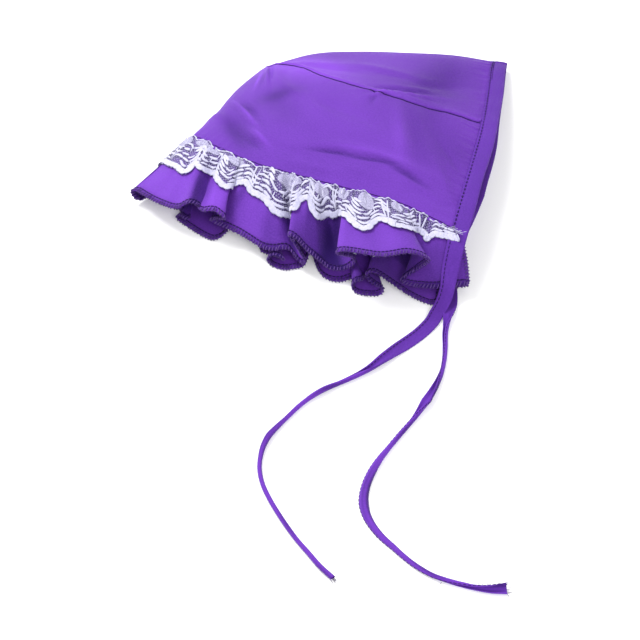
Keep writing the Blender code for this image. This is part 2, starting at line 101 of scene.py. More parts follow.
# Dents and ridges of the upper side: middle, half length, half width, direction, height.
CREASES = (
    # x, y, half length, half width, degrees, height
    (-45.0, 14.0, 19.0, 5.6, -70.0, -3.4),
    (-57.0, 30.0, 12.0, 4.0, -50.0, 1.4),
    (28.0, 12.0, 42.0, 12.0, -20.0, -0.9),
    (72.0, 50.0, 14.0, 10.0, 60.0, -2.2),
    (62.0, 4.0, 26.0, 8.0, -82.0, -1.5),
    # the dent by the front fold and the two ridges beside it
    (-40.6, 23.0, 17.0, 1.7, -65.0, 2.0),
    (-37.4, 24.0, 15.0, 2.4, -66.0, -1.2),
    (-32.5, 0.5, 9.0, 1.5, -57.0, 1.8),
    (-36.0, -1.5, 8.0, 2.0, -57.0, -1.2),
    (-20.0, 20.0, 24.0, 6.5, -58.0, -1.3),
    (-22.0, 44.0, 15.0, 3.4, -62.0, 0.9),
    # the sharp fold down from the crown tip
    (-29.6, 60.0, 12.0, 1.0, -88.0, 1.4),
    (-27.2, 60.0, 12.0, 1.3, -88.0, -1.4),
    (-24.0, 58.0, 14.0, 3.2, -80.0, 0.9),
    # the long crease over the middle and the lighter ridge above it
    (6.0, -16.6, 10.0, 1.5, -14.0, -1.2),
    (27.0, -22.0, 13.0, 1.7, -10.0, -1.3),
    (45.0, -30.5, 12.0, 1.8, -33.0, -1.7),
    (38.0, -22.5, 22.0, 2.6, -22.0, 1.0),
    (8.0, -12.5, 14.0, 2.4, -12.0, 0.8),
    (20.0, -29.0, 20.0, 3.0, -20.0, 0.6),
    (43.5, -4.0, 22.0, 3.2, -88.0, 1.0),
    (50.5, -4.0, 22.0, 3.4, -84.0, -0.9),
    (10.0, 14.0, 22.0, 4.0, -32.0, -0.9),
    (-6.0, 24.0, 20.0, 3.6, -50.0, 0.7),
    # the star where the seam pulls
    (31.5, 29.0, 5.0, 1.6, 35.0, 1.4),
    (29.0, 25.0, 6.0, 1.6, 75.0, -1.2),
    (36.0, 34.0, 9.0, 1.3, 28.0, -1.0),
    # ridges of the panel that run from it to the neck
    (47.0, 32.5, 17.0, 1.4, 2.0, 1.5),
    (46.0, 36.5, 16.0, 1.9, 4.0, -1.4),
    (50.0, 28.8, 15.0, 1.3, -9.0, 1.0),
    (58.0, 39.0, 16.0, 3.0, -8.0, 0.9),
    (62.0, 47.0, 16.0, 3.4, 12.0, -1.0),
    (8.0, 58.0, 24.0, 3.6, -14.0, -1.0),
    (2.0, 66.0, 22.0, 3.6, -8.0, 0.9),
    (34.0, 62.0, 22.0, 3.4, -20.0, 0.8),
    (40.0, 54.0, 20.0, 3.2, -18.0, -0.8),
    # small pulls beside the lace and the neck
    (-14.0, -14.0, 12.0, 2.2, -32.0, -0.7),
    (56.0, -44.0, 14.0, 2.0, -30.0, -0.9),
    (66.0, -34.0, 14.0, 2.2, -74.0, 0.8),
    (69.5, -14.0, 12.0, 2.0, -60.0, -0.8),
    (0.0, -26.0, 16.0, 2.0, -22.0, 0.6),
)
# Painted light and shade of the cloth, lighter on ridges and faces towards the light, darker in
# dents and creases: in the same columns, with a share of tone last.
PAINTED_LIGHT_AND_SHADE = (
    # x, y, half length, half width, degrees, tone
    (-8.0, 64.0, 26.0, 13.0, -28.0, 0.72),
    (70.0, 58.0, 26.0, 20.0, 70.0, -0.42),
    (40.0, 46.0, 30.0, 9.0, -12.0, -0.16),
    (66.0, -2.0, 36.0, 13.0, -80.0, -0.26),
    (-46.0, 12.0, 20.0, 5.5, -70.0, -0.42),
    (-40.6, 23.0, 16.0, 1.5, -65.0, 0.34),
    (-37.6, 25.0, 13.0, 1.8, -66.0, -0.18),
    (-32.5, 0.5, 9.0, 1.3, -57.0, 0.34),
    (-35.6, -2.5, 8.0, 1.7, -57.0, -0.22),
    (-34.4, 56.0, 9.0, 0.9, 78.0, 0.62),
    (-31.6, 55.0, 8.0, 1.2, 78.0, -0.22),
    (-23.0, 33.0, 11.0, 5.6, 5.0, -0.36),
    (-42.0, 29.0, 9.0, 2.6, -48.0, -0.20),
    (7.0, -16.8, 12.0, 0.9, -14.0, -0.55),
    (28.0, -22.6, 13.0, 1.1, -10.0, -0.55),
    (46.0, -31.0, 12.0, 1.7, -34.0, -0.48),
    (17.0, -15.6, 14.0, 1.4, -12.0, 0.20),
    (38.0, -21.0, 22.0, 3.6, -22.0, 0.16),
    (48.0, 32.6, 17.0, 1.2, 2.0, 0.36),
    (46.0, 36.8, 16.0, 1.8, 4.0, -0.26),
    (51.0, 28.6, 15.0, 1.1, -9.0, 0.24),
    (31.5, 29.2, 5.0, 1.3, 35.0, 0.40),
    (29.0, 25.0, 6.0, 1.3, 75.0, -0.24),
    (43.0, -6.0, 24.0, 4.0, -88.0, 0.12),
    (52.0, -6.0, 24.0, 4.0, -84.0, -0.16),
    (-18.0, 18.0, 26.0, 7.0, -58.0, -0.14),
)
SEAM_SINK = 0.9
SEAM_SINK_WIDTH = 0.9
ALLOWANCE_WIDTH = 1.2
UNDER_BINDING = 2.0
# The band's turned-in edge at the face, as a share of its width, and where the ruffle is sewn on.
TURNED_IN = 0.012
SEWN_ON = 0.018
# Puckers beside the stitching: pitch, height, how far they reach, and where their waves start.
BAND_PUCKERS = (
    (4.6, 0.50, 4.4, 1.0),
    (4.0, 0.30, 4.0, 2.0),
    (7.0, 0.12, 4.0, 3.0),
)
# How unevenly puckers follow each other: size of a swing, its speed, and how many seeds on it
# starts.
PUCKER_SWINGS = (
    (2.2, 1.13, 1),
    (1.4, 0.47, 2),
)
# Points along the upper side, along the lower side, and across, closer together at the seam.
BAND_CELLS = (120, 100, 92)
CLOSER_ACROSS = 1.35


def smooth_line(rows, steps=40):
    """Catmull-Rom curve through rows of numbers, as a dense list of points."""
    points = np.array(rows, float)
    ends = np.vstack([2 * points[0] - points[1], points, 2 * points[-1] - points[-2]])
    t = np.linspace(0.0, 1.0, steps, endpoint=False)[:, None]
    pieces = []
    for k in range(1, len(ends) - 2):
        a, b, c, d = ends[k - 1], ends[k], ends[k + 1], ends[k + 2]
        cubic = -a + 3 * b - 3 * c + d
        square = 2 * a - 5 * b + 4 * c - d
        pieces.append(0.5 * (2 * b + (c - a) * t + square * t ** 2 + cubic * t ** 3))
    return np.vstack(pieces + [points[-1:]])


def length_along(line):
    """Distance from the first point of a line to each of its points."""
    steps = np.linalg.norm(np.diff(line, axis=0), axis=1)
    return np.concatenate([[0.0], np.cumsum(steps)])


def unit(vectors):
    """Vectors of length 1 in the same directions."""
    return vectors / np.maximum(np.linalg.norm(vectors, axis=-1, keepdims=True), 1e-9)


def points_at(distances, along, rows):
    """Values between the rows of a table at distances, where the rows stand at along."""
    columns = [np.interp(distances, along, rows[:, k]) for k in range(rows.shape[1])]
    return np.stack(columns, axis=-1)


def at_distance(line, distances):
    """Points of a line at given distances along it, carried straight on past its ends."""
    along = length_along(line)
    distances = np.asarray(distances, float)
    points = points_at(distances, along, line)
    points += np.minimum(distances, 0.0)[..., None] * unit(line[1] - line[0])
    points += np.maximum(distances - along[-1], 0.0)[..., None] * unit(line[-1] - line[-2])
    return points


def at_share(line, shares):
    """Points of a line at given shares of its length."""
    return at_distance(line, np.asarray(shares) * length_along(line)[-1])


def edge_line(rows, side):
    """Dense line of one edge on the upper (0) or the lower (1) side of the hood."""
    return smooth_line([(x, y, heights[side]) for x, y, *heights in rows])


def part_of_line(line, start, end):
    """The stretch of a line between two shares of its length."""
    return at_share(line, np.linspace(start, end, 200))


def filled_patch(bottom, top, left, right, u, v):
    """Coons patch: the two ruled surfaces between facing lines, less the corners' plane.

    u runs along bottom and top and v along left and right; v may be a row for each u.
    """
    u = np.asarray(u)[:, None, None]
    v = np.broadcast_to(np.asarray(v), (len(u), np.shape(v)[-1]))[..., None]
    b = at_share(bottom, u[:, 0, 0])[:, None, :]
    t = at_share(top, u[:, 0, 0])[:, None, :]
    a = at_share(left, v[..., 0])
    c = at_share(right, v[..., 0])
    corners = (1 - u) * (1 - v) * bottom[0] + u * (1 - v) * bottom[-1]
    corners = corners + (1 - u) * v * top[0] + u * v * top[-1]
    return (1 - v) * b + v * t + (1 - u) * a + u * c - corners


def plan_distance(points, line):
    """Distance in plan from each grid point to a line."""
    gap = points[..., None, :2] - line[None, None, ::2, :2]
    return np.sqrt((gap ** 2).sum(axis=-1)).min(axis=-1)


def lay_on_table(points, fold, face, neck):
    """Heights of the lower side: flat on the table, a quarter round up to the fold."""
    gap = points[..., None, :2] - fold[None, None, ::2, :2]
    squares = (gap ** 2).sum(axis=-1)
    rise = fold[::2, 2][squares.argmin(axis=-1)]
    share = np.clip(np.sqrt(squares.min(axis=-1)) / rise, 0.0, 1.0)
    height = rise * (1.0 - np.sqrt(1.0 - (1.0 - share) ** 2))
    for edge in (face, neck):
        if edge is None:
            continue
        near = np.clip(1.0 - plan_distance(points, edge) / EDGE_FALL, 0.0, 1.0)
        height = np.maximum(height, edge[len(edge) // 2, 2] * near ** 2)
    laid = points.copy()
    laid[..., 2] = height
    return laid


def bells(points, rows):
    """Sum over the rows of the last value times exp(-(along/length)^2 - (across/width)^2)."""
    total = np.zeros(points.shape[:-1])
    for x, y, half_length, half_width, degrees, value in rows:
        turn = math.radians(degrees)
        along = (points[..., 0] - x) * math.cos(turn) + (points[..., 1] - y) * math.sin(turn)
        across = (points[..., 1] - y) * math.cos(turn) - (points[..., 0] - x) * math.sin(turn)
        total += value * np.exp(-(along / half_length) ** 2 - (across / half_width) ** 2)
    return total


def seam_ridge(points, distance, height):
    """The seam allowance below the cloth: height times exp(-x^2) beside the seam."""
    beside = plan_distance(points, edge_line(SEAM, 0)) - distance
    return height * np.exp(-(beside / ALLOWANCE_WIDTH) ** 2)


def outward_of(grid):
    """Unit normals of a grid of points, from the cross product of its two gradients."""
    return unit(np.cross(np.gradient(grid, axis=0), np.gradient(grid, axis=1)))


def ripple(distance, along, pitch, height, reach, seed):
    """Small puckers beside stitching: a sine of uneven pitch that dies away from the edge."""
    phase = 0.0
    for size, speed, turns in PUCKER_SWINGS:
        phase = phase + size * np.sin(along / pitch * speed + turns * seed)
    return height * np.exp(-distance / reach) * np.sin(2 * math.pi * along / pitch + phase)


def pucker(points, line, pitch, height, reach, seed):
    """The ripple beside one line of stitching, for a grid of points."""
    gap = points[..., None, :2] - line[None, None, ::4, :2]
    squares = (gap ** 2).sum(axis=-1)
    along = length_along(line)[::4][squares.argmin(axis=-1)]
    return ripple(np.sqrt(squares.min(axis=-1)), along, pitch, height, reach, seed)


def to_frame(points):
    """Table millimetres to metres from the frame's origin."""
    return (np.asarray(points) - FRAME_MIDDLE) * MM


def make_mesh(name, points, faces, uv=None):
    """A smooth mesh object: points in table millimetres, faces as index rows, uv for each point."""
    mesh = bpy.data.meshes.new(name)
    mesh.from_pydata(to_frame(points).tolist(), [], faces)
    if uv is not None:
        corners = np.empty(len(mesh.loops), np.int32)
        mesh.loops.foreach_get("vertex_index", corners)
        layer = mesh.uv_layers.new(name="cloth")
        layer.data.foreach_set("uv", np.asarray(uv, np.float32)[corners].ravel())
    mesh.shade_smooth()
    item = bpy.data.objects.new(name, mesh)
    bpy.context.scene.collection.objects.link(item)
    return item


def grid_faces(columns, rows, turned):
    """The quads of a grid of points as index rows."""
    number = np.arange(columns * rows).reshape(columns, rows)
    ring = [number[:-1, :-1], number[:-1, 1:], number[1:, 1:], number[1:, :-1]]
    quads = np.stack(ring[::-1] if turned else ring, axis=-1)
    return quads.reshape(-1, 4)


def cloth_lengths(grid):
    """Millimetres along the cloth for each grid point: mean lengths along columns and rows."""
    along = np.linalg.norm(np.diff(grid, axis=0), axis=-1).mean(axis=1)
    across = np.linalg.norm(np.diff(grid, axis=1), axis=-1).mean(axis=0)
    u = np.concatenate([[0.0], np.cumsum(along)])
    v = np.concatenate([[0.0], np.cumsum(across)])
    return np.stack(np.broadcast_arrays(u[:, None], v[None, :]), axis=-1)


def set_painted_light(item, tone):
    """Painted light and shade for each point of a piece, as a tone that its finish reads."""
    layer = item.data.attributes.new("tone", "FLOAT", "POINT")
    layer.data.foreach_set("value", np.asarray(tone, np.float32).ravel())


def cloth_piece(name, grid, wall, turned=False, uv=None):
    """A grid of points as a sheet of cloth, thickened inwards by its wall."""
    uv = cloth_lengths(grid) if uv is None else uv
    faces = grid_faces(*grid.shape[:2], turned)
    item = make_mesh(name, grid.reshape(-1, 3), faces.tolist(), uv.reshape(-1, 2))
    solid = item.modifiers.new("wall", "SOLIDIFY")
    solid.thickness = wall * MM
    solid.offset = -1.0
    solid.use_rim = True
    return item


class Wire:
    """A shader socket that adds Math nodes when it is used in a sum, difference or product."""

    def __init__(self, finish, socket):
        self.finish = finish
        self.socket = socket

    def math(self, operation, *values):
        node = self.finish.node("ShaderNodeMath", {"operation": operation}, dict(enumerate(values)))
        return Wire(self.finish, node.outputs[0])

    def __add__(self, other):
        return self.math("ADD", self, other)

    def __sub__(self, other):
        return self.math("SUBTRACT", self, other)

    def __rsub__(self, other):
        return self.math("SUBTRACT", other, self)

    def __mul__(self, other):
        return self.math("MULTIPLY", self, other)

    def sine(self):
        return self.math("SINE", self)

    def size(self):
        return self.math("ABSOLUTE", self)

    def over(self, limit):
        return self.math("GREATER_THAN", self, limit)

    def most(self, other):
        return self.math("MAXIMUM", self, other)

    __radd__, __rmul__ = __add__, __mul__


class Finish:
    """A Principled material, with one method that adds any node to it."""

    def __init__(self, name, **constants):
        self.material = bpy.data.materials.new(name)
        self.material.use_nodes = True
        self.tree = self.material.node_tree
        self.shader = self.tree.nodes["Principled BSDF"]
        for socket, value in constants.items():
            self.shader.inputs[socket.replace("_", " ")].default_value = value

    def node(self, kind, settings=None, inputs=None):
        """A node of this kind: its settings first, then the values or links of its sockets."""
        node = self.tree.nodes.new(kind)
        for name, value in (settings or {}).items():
            setattr(node, name, value)
        for key, value in (inputs or {}).items():
            if isinstance(value, Wire):
                self.tree.links.new(value.socket, node.inputs[key])
            else:
                node.inputs[key].default_value = value
        return node

    def wire(self, kind, settings=None, inputs=None, output=0):
        return Wire(self, self.node(kind, settings, inputs).outputs[output])

    def feed(self, socket, wire):
        self.tree.links.new(wire.socket, self.shader.inputs[socket])

    def mixed(self, share, first, second):
        """A colour between two: share 0 gives the first."""
        node = self.node("ShaderNodeMix", {"data_type": "RGBA"}, {0: share, 6: first, 7: second})
        return Wire(self, node.outputs[2])

    def noise(self, vector, scale, detail=2.0, rough=0.5):
        """Noise from 0 to 1 on a vector."""
        values = {"Vector": vector, "Scale": scale, "Detail": detail, "Roughness": rough}
        return self.wire("ShaderNodeTexNoise", None, values)


def scaled(finish, vector, factors):
    """A vector times three factors."""
    settings = {"operation": "MULTIPLY"}
    return finish.wire("ShaderNodeVectorMath", settings, {0: vector, 1: factors})


# The darkest and the lightest tone of a cloth, as shares of its colour, and a grey of painted
# sheen.
# Painted shade reaches towards the darkest tone and painted light towards the lightest.
CLOTH_DARK, CLOTH_LIGHT = (0.164, 0.042, 0.286), (1.46, 1.50, 1.42)
PAINTED_SHEEN_GREY = 0.0165
CLOTH_SHEEN = 0.07
SHEEN_TINT = (0.85, 0.72, 1.0, 1.0)
YARN_PITCH = 0.42
# How much the slubs, the yarns, the dye and the weave tell in the tone, and where its range lies.
TONE_SHARES = (0.34, 0.60, 0.44, 0.08)
TONE_MIDDLE = 0.19
# Noise scales of the slubs and the yarns along and across the cloth, and of the dye.
SLUB_SCALE, YARN_SCALE, DYE_SCALE = (0.35, 3.2, 1.0), (1.15, 1.15, 1.0), 26.0
# Roughness of slubs and weave over a base, and the relief of weave, slubs and yarns.
ROUGH_SHARES, ROUGH_BASE = (0.16, 0.04), 0.58
RELIEF_SHARES = (0.35, 0.9, 0.4)
TONE_SPAN, TONE_LEAST = 0.741, 0.259
WEAVE_DEPTH = 0.00016


def cloth_finish(name, colour):
    """Plain weave: warp and weft as crossed sines, with slubs along the weft, uneven dye and
    painted light and shade.
    """
    finish = Finish(name, Metallic=0.0, Sheen_Weight=CLOTH_SHEEN, Sheen_Roughness=0.45)
    finish.shader.inputs["Specular IOR Level"].default_value = 0.16
    finish.shader.inputs["Sheen Tint"].default_value = SHEEN_TINT
    uv = finish.wire("ShaderNodeUVMap", {"uv_map": "cloth"})
    parts = finish.node("ShaderNodeSeparateXYZ", None, {0: uv})
    warp, weft = ((Wire(finish, parts.outputs[k]) * (2 * math.pi / YARN_PITCH)).sine()
                  for k in (0, 1))
    weave = warp * weft
    slub = finish.noise(scaled(finish, uv, SLUB_SCALE), 1.0, 3.0, 0.6)
    yarn = finish.noise(scaled(finish, uv, YARN_SCALE), 1.0, 2.0, 0.6)
    space = finish.wire("ShaderNodeTexCoord", None, None, 3)
    dye = finish.noise(space, DYE_SCALE, 2.0, 0.5)
    # The points' tone is painted light and shade: lighter where the cloth faces the light, darker
    # in dents, creases and turned-away pleats.
    tone = finish.wire("ShaderNodeAttribute", {"attribute_name": "tone"}, None, 2)
    dark = [c * share for c, share in zip(colour, CLOTH_DARK)] + [1.0]
    # The lightest tone carries the grey of painted sheen.
    light = [c * share + PAINTED_SHEEN_GREY for c, share in zip(colour, CLOTH_LIGHT)] + [1.0]
    of_slub, of_yarn, of_dye, of_weave = TONE_SHARES
    share = slub * of_slub + yarn * of_yarn + dye * of_dye + weave * of_weave + tone - TONE_MIDDLE
    finish.feed("Base Color", finish.mixed(share * TONE_SPAN + TONE_LEAST, dark, light))
    rough_slub, rough_weave = ROUGH_SHARES
    finish.feed("Roughness", slub * rough_slub + weave * rough_weave + ROUGH_BASE)
    high_weave, high_slub, high_yarn = RELIEF_SHARES
    height = weave * high_weave + slub * high_slub + yarn * high_yarn
    bump = {"Strength": 0.70, "Distance": WEAVE_DEPTH, "Height": height}
    finish.feed("Normal", finish.wire("ShaderNodeBump", None, bump))
    return finish.material


def band_patch(side, u, v):
    """The side band on one side: u from the neck to the front fold, v from face to seam."""
    neck = part_of_line(edge_line(NECK_EDGE, side), 0.0, NAPE_SHARE)
    face, seam = edge_line(FACE_EDGE, side), edge_line(SEAM, side)
    seam[0] = neck[-1]
    points = filled_patch(face, seam, neck, edge_line(FRONT_FOLD, side), u, v)
    if side == 1:
        return lay_on_table(points, fold_line, face, neck)
    points[..., 2] += np.outer(u * (1 - u), v * (1 - v)) * 16 * CROWN_LIFT
    points[..., 2] += bells(points, CREASES)
    for line, row in zip((neck, face, seam), BAND_PUCKERS):
        points[..., 2] += pucker(points, line, *row)
    return points


def closing_up(count):
    """Shares from 0 to 1 that lie closer together towards 1."""
    return np.sin(np.linspace(0.0, 1.0, count) * math.pi / 2)


def sink_at_seam(sheet):
    """The upper side dips into the seam: depth times exp(-(distance / width)^2)."""
    gap = plan_distance(sheet, edge_line(SEAM, 0))
    sheet[..., 2] -= SEAM_SINK * np.exp(-(gap / SEAM_SINK_WIDTH) ** 2)


fold_line = np.vstack([edge_line(FRONT_FOLD, 0), edge_line(CROWN_RIDGE, 0)[::-1]])
upper_cells, lower_cells, row_cells = BAND_CELLS
band_length = length_along(edge_line(FACE_EDGE, 0))[-1]
u_upper, u_lower = (np.concatenate([[-UNDER_BINDING / band_length], closing_up(cells)])
                    for cells in (upper_cells, lower_cells))
v_rows = 1.0 - (1.0 - np.linspace(0.0, 1.0, row_cells)) ** CLOSER_ACROSS
v_rows = np.concatenate([[-TURNED_IN], v_rows])
upper = band_patch(0, u_upper, v_rows)
lower = band_patch(1, u_lower, v_rows)
sink_at_seam(upper)
band_grid = np.vstack([upper, lower[::-1][1:]])
PURPLE = (0.111, 0.0195, 0.335)
cloth = cloth_finish("purple_cloth", PURPLE)
side_band = cloth_piece("side_band_cloth", band_grid, CLOTH_WALL)
# Painted light and shade on the upper side of the band.
set_painted_light(side_band, bells(band_grid, PAINTED_LIGHT_AND_SHADE) * (np.arange(len(band_grid)) < len(upper))[:, None])
side_band.data.materials.append(cloth)
band_seam_line = upper[1:, -1].copy()
band_face_line = band_patch(0, u_upper[1:], np.array([SEWN_ON]))[:, 0]
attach(side_band, "root")
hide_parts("side_band")

# Back panel

# The tongue of the same cloth from the nape to the crown, let into the band with a plain seam.
# It is folded down its middle as the hat lies, and narrows to a tip where the crown seam ends.

# Points along the panel and across half of it, closer together at the ridge.
PANEL_CELLS = (110, 44)
CLOSER_AT_RIDGE = 1.2
PANEL_LENGTH = 130.0
# The last row stops short of the tip, where all the points would fall together.
PANEL_END = 0.995
PANEL_PUCKERS = (
    (4.2, 0.46, 4.4, 4.0),
    (6.0, 0.15, 4.0, 5.0),
)
# The seam allowance beside the seam: its ridge in the shape, and a painted highlight along it in
# the tone.
ALLOWANCE = (1.9, 0.5)
ALLOWANCE_HIGHLIGHT = (1.7, 0.22)


def panel_patch(side, u, v):
    """Half of the back panel: u from the neck to its tip, v from the seam to the ridge."""
    neck = part_of_line(edge_line(NECK_EDGE, side), NAPE_SHARE, 1.0)
    seam, ridge = edge_line(SEAM, side), edge_line(CROWN_RIDGE, side)
    seam[0] = neck[0]
    tip = np.repeat(ridge[-1:], 3, axis=0) + np.linspace(0, 1e-6, 3)[:, None]
    points = filled_patch(seam, ridge, neck, tip, u, v)
    if side == 1:
        return lay_on_table(points, fold_line, None, neck)
    points[..., 2] += bells(points, CREASES) + seam_ridge(points, *ALLOWANCE)
    for line, row in zip((neck, seam), PANEL_PUCKERS):
        points[..., 2] += pucker(points, line, *row)
    return points


panel_columns, panel_rows = PANEL_CELLS
u_panel = np.linspace(0.0, PANEL_END, panel_columns)
u_panel = np.concatenate([[-UNDER_BINDING / PANEL_LENGTH], u_panel])
v_panel = closing_up(panel_rows) ** CLOSER_AT_RIDGE
upper = panel_patch(0, u_panel, v_panel)
lower = panel_patch(1, u_panel, v_panel)
sink_at_seam(upper)
panel_grid = np.concatenate([upper, lower[:, ::-1][:, 1:]], axis=1)
back_panel = cloth_piece("back_panel_cloth", panel_grid, CLOTH_WALL)
# Painted light and shade on the panel, and a painted highlight along the seam allowance's ridge.
panel_painted_light = bells(panel_grid, PAINTED_LIGHT_AND_SHADE) + seam_ridge(panel_grid, *ALLOWANCE_HIGHLIGHT)
set_painted_light(back_panel, panel_painted_light * (np.arange(panel_grid.shape[1]) < panel_rows))
back_panel.data.materials.append(cloth)
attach(back_panel, "root")
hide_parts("back_panel")

# Face ruffle

# One long strip of the cloth, gathered along its upper edge into the seam round the face.
# Its folds stand and tuck under on the upper side, and lie in lobes on the table below.

RUFFLE_WALL = 0.5
SEAM_GAP = 0.45
# The camera that took the photograph, in table millimetres, and the photograph's width.
CAMERA_ELEVATION = math.radians(50.0)
CAMERA_TARGET = np.array([0.0, -105.0, 0.0])
CAMERA_DISTANCE = 1100.0
CAMERA_LENS, CAMERA_SENSOR = 120.0, 36.0
PHOTO_PIXELS = 640
# The hem from the front tip to its two ends, read off the photograph every few
# millimetres. On the near side it runs over standing pleats, and on the far side it lies on the
# table in lobes and small curls. Each row: pixel x and y, height, and, where it is set, the place
# along the face edge that it is gathered to, from that end. The other places follow by length.
NEAR_HEM = (
    (131.5, 190.5, 8.7, 171.7), (137.0, 190.8, 9.6, None), (143.0, 194.5, 10.8, 165.3),
    (150.0, 198.6, 12.0, 161.0), (157.0, 202.2, 13.0, 157.0), (165.0, 205.6, 14.2, 152.7),
    (172.0, 208.0, 15.0, None), (178.0, 208.0, 16.5, None), (182.5, 205.3, 18.6, 144.6),
    (187.0, 202.8, 20.0, None), (192.0, 202.6, 19.5, 141.0), (197.5, 204.6, 16.5, 138.7),
    (200.0, 207.2, 14.5, 136.6), (198.8, 208.8, 15.5, 134.6), (203.0, 211.0, 17.5, None),
    (209.0, 210.2, 19.6, 130.8), (215.0, 211.0, 20.0, None), (220.5, 214.5, 19.5, 124.8),
    (225.0, 219.0, 17.5, 122.8), (219.0, 219.3, 13.5, None), (211.5, 219.8, 9.8, 119.5),
    (213.5, 222.3, 8.6, None), (222.5, 226.2, 8.2, 114.3), (230.0, 229.8, 8.0, None),
    (239.0, 234.2, 8.0, 108.3), (250.0, 240.6, 8.0, None), (260.0, 246.8, 8.0, 101.1),
    (267.0, 249.6, 8.2, 99.0), (275.0, 250.3, 8.6, 96.8), (283.0, 249.0, 9.2, None),
    (289.5, 250.0, 8.8, 93.4), (296.0, 257.0, 7.0, None), (302.5, 264.0, 5.4, 89.8),
    (305.5, 262.0, 7.5, None), (300.0, 252.5, 13.5, 87.8), (292.5, 241.0, 20.0, None),
    (288.3, 235.0, 22.8, 85.4), (292.5, 236.2, 22.6, None), (299.0, 241.5, 20.5, 81.0),
    (306.0, 249.3, 17.4, None), (314.0, 256.0, 14.0, 76.0), (320.0, 260.5, 11.5, None),
    (325.0, 265.0, 9.2, 73.2), (331.0, 268.6, 7.9, None), (341.0, 269.6, 7.5, 68.1),
    (350.0, 267.0, 8.0, None), (355.3, 262.2, 10.2, 64.2), (352.0, 257.6, 15.5, None),
    (344.0, 255.6, 20.5, 60.8), (337.5, 254.4, 24.4, None), (336.6, 252.0, 27.2, 58.5),
    (342.0, 250.8, 28.8, 56.8), (350.0, 251.3, 29.3, 54.5), (360.0, 252.9, 29.5, 51.7),
    (370.0, 254.5, 29.6, None), (381.0, 255.7, 29.5, 44.5), (393.0, 254.5, 29.5, 40.5),
    (406.0, 252.6, 29.3, 36.0), (417.0, 253.7, 28.6, None), (425.0, 256.2, 26.9, 27.6),
    (430.0, 260.2, 24.0, 25.3), (426.5, 264.4, 20.0, 23.1), (418.5, 269.0, 15.8, None),
    (410.0, 274.3, 12.0, 18.6), (403.4, 278.6, 9.4, 16.2), (402.4, 282.2, 8.0, 15.2),
    (409.0, 285.0, 7.4, 13.4), (419.0, 286.9, 7.3, 10.8), (430.0, 288.0, 7.3, 7.8),
    (441.5, 287.6, 7.5, 5.0), (452.1, 286.6, 7.7, 3.0), (461.7, 285.3, 7.9, 1.4),
    (469.4, 284.0, 8.0, 0.0),
)
FAR_HEM = (
    (131.5, 190.5, 8.7, 167.4), (131.8, 194.5, 6.2, None), (136.0, 199.3, 3.2, 162.8),
    (141.5, 200.0, 1.6, 160.2), (148.0, 197.5, 1.2, 157.4), (157.0, 199.5, 1.0, 153.7),
    (167.0, 204.0, 1.0, None), (176.0, 208.2, 2.0, 146.8), (184.0, 213.2, 4.2, None),
    (188.8, 218.4, 6.2, 143.2), (185.0, 218.2, 7.2, None), (180.0, 215.2, 6.2, 140.7),
    (176.5, 216.4, 4.0, 139.2), (177.5, 219.6, 2.0, 137.7), (182.5, 223.5, 1.0, 135.1),
    (190.0, 228.5, 0.6, 132.8), (198.0, 233.6, 0.5, 130.2), (205.0, 237.6, 0.5, None),
    (212.0, 240.0, 0.5, 124.6), (218.5, 238.6, 0.8, None), (224.0, 234.4, 1.6, 120.4),
    (227.5, 229.5, 3.0, None), (223.5, 225.0, 4.4, 116.2), (231.0, 225.5, 4.6, None),
    (243.0, 231.5, 4.0, 109.3), (253.0, 238.5, 3.0, None), (259.5, 246.0, 1.4, 103.3),
    (260.5, 251.0, 0.8, None), (266.0, 253.5, 1.2, 100.9), (275.0, 256.6, 3.2, 99.8),
    (284.0, 260.0, 5.6, 98.5), (281.5, 257.2, 7.6, None), (275.0, 254.8, 7.8, 96.1),
    (269.5, 256.2, 6.0, None), (267.6, 260.4, 3.2, 93.4), (271.0, 265.0, 1.2, None),
    (278.0, 268.6, 0.5, 90.7), (286.0, 270.0, 0.4, None), (295.0, 268.8, 0.4, 85.9),
    (303.0, 266.6, 0.7, None), (307.0, 260.0, 2.4, 81.1), (309.5, 253.5, 4.6, None),
    (313.5, 256.0, 3.8, 78.1), (316.0, 263.5, 1.8, None), (319.0, 271.5, 0.7, 74.2),
    (325.0, 278.0, 0.4, None), (333.0, 281.4, 0.4, 69.6), (342.0, 281.8, 0.4, None),
    (350.5, 279.0, 1.0, 63.2), (358.0, 276.6, 2.6, None), (364.5, 276.8, 5.0, 59.4),
    (362.5, 279.6, 7.0, None), (357.0, 281.0, 7.2, 56.4), (353.0, 284.0, 5.2, None),
    (352.3, 288.0, 2.8, 54.2), (355.0, 292.3, 0.9, None), (361.0, 295.0, 0.4, 51.6),
    (369.0, 295.8, 0.4, None), (376.5, 296.0, 0.4, 47.4), (381.8, 293.6, 1.2, None),
    (383.4, 288.8, 3.2, 44.7), (378.5, 286.2, 5.4, None), (372.0, 281.8, 7.4, 41.4),
    (367.4, 277.0, 8.8, None), (368.0, 273.3, 9.4, 38.4), (374.0, 272.6, 9.2, 36.8),
    (381.0, 276.0, 8.2, 34.7), (388.0, 280.8, 6.6, None), (396.0, 286.6, 4.6, 29.5),
    (405.0, 292.8, 2.8, None), (415.0, 298.4, 1.4, 22.1), (425.0, 302.8, 0.7, None),
    (433.0, 304.8, 0.5, 15.5), (437.5, 302.6, 0.7, None), (438.6, 296.0, 1.6, 11.6),
    (441.5, 290.2, 2.6, None), (449.0, 288.0, 3.2, 7.7), (458.0, 287.6, 3.6, 4.3),
    (469.0, 286.0, 3.8, 0.0),
)
LOBE_HEIGHT = 0.4
# Valleys that sink between the pleats of the near side: share of the hem, half width, depth.
VALLEYS = (
    (0.057, 0.020, 4.0),
    (0.206, 0.013, 8.0),
    (0.294, 0.012, 5.0),
    (0.382, 0.010, 4.0),
    (0.429, 0.010, 5.0),
)
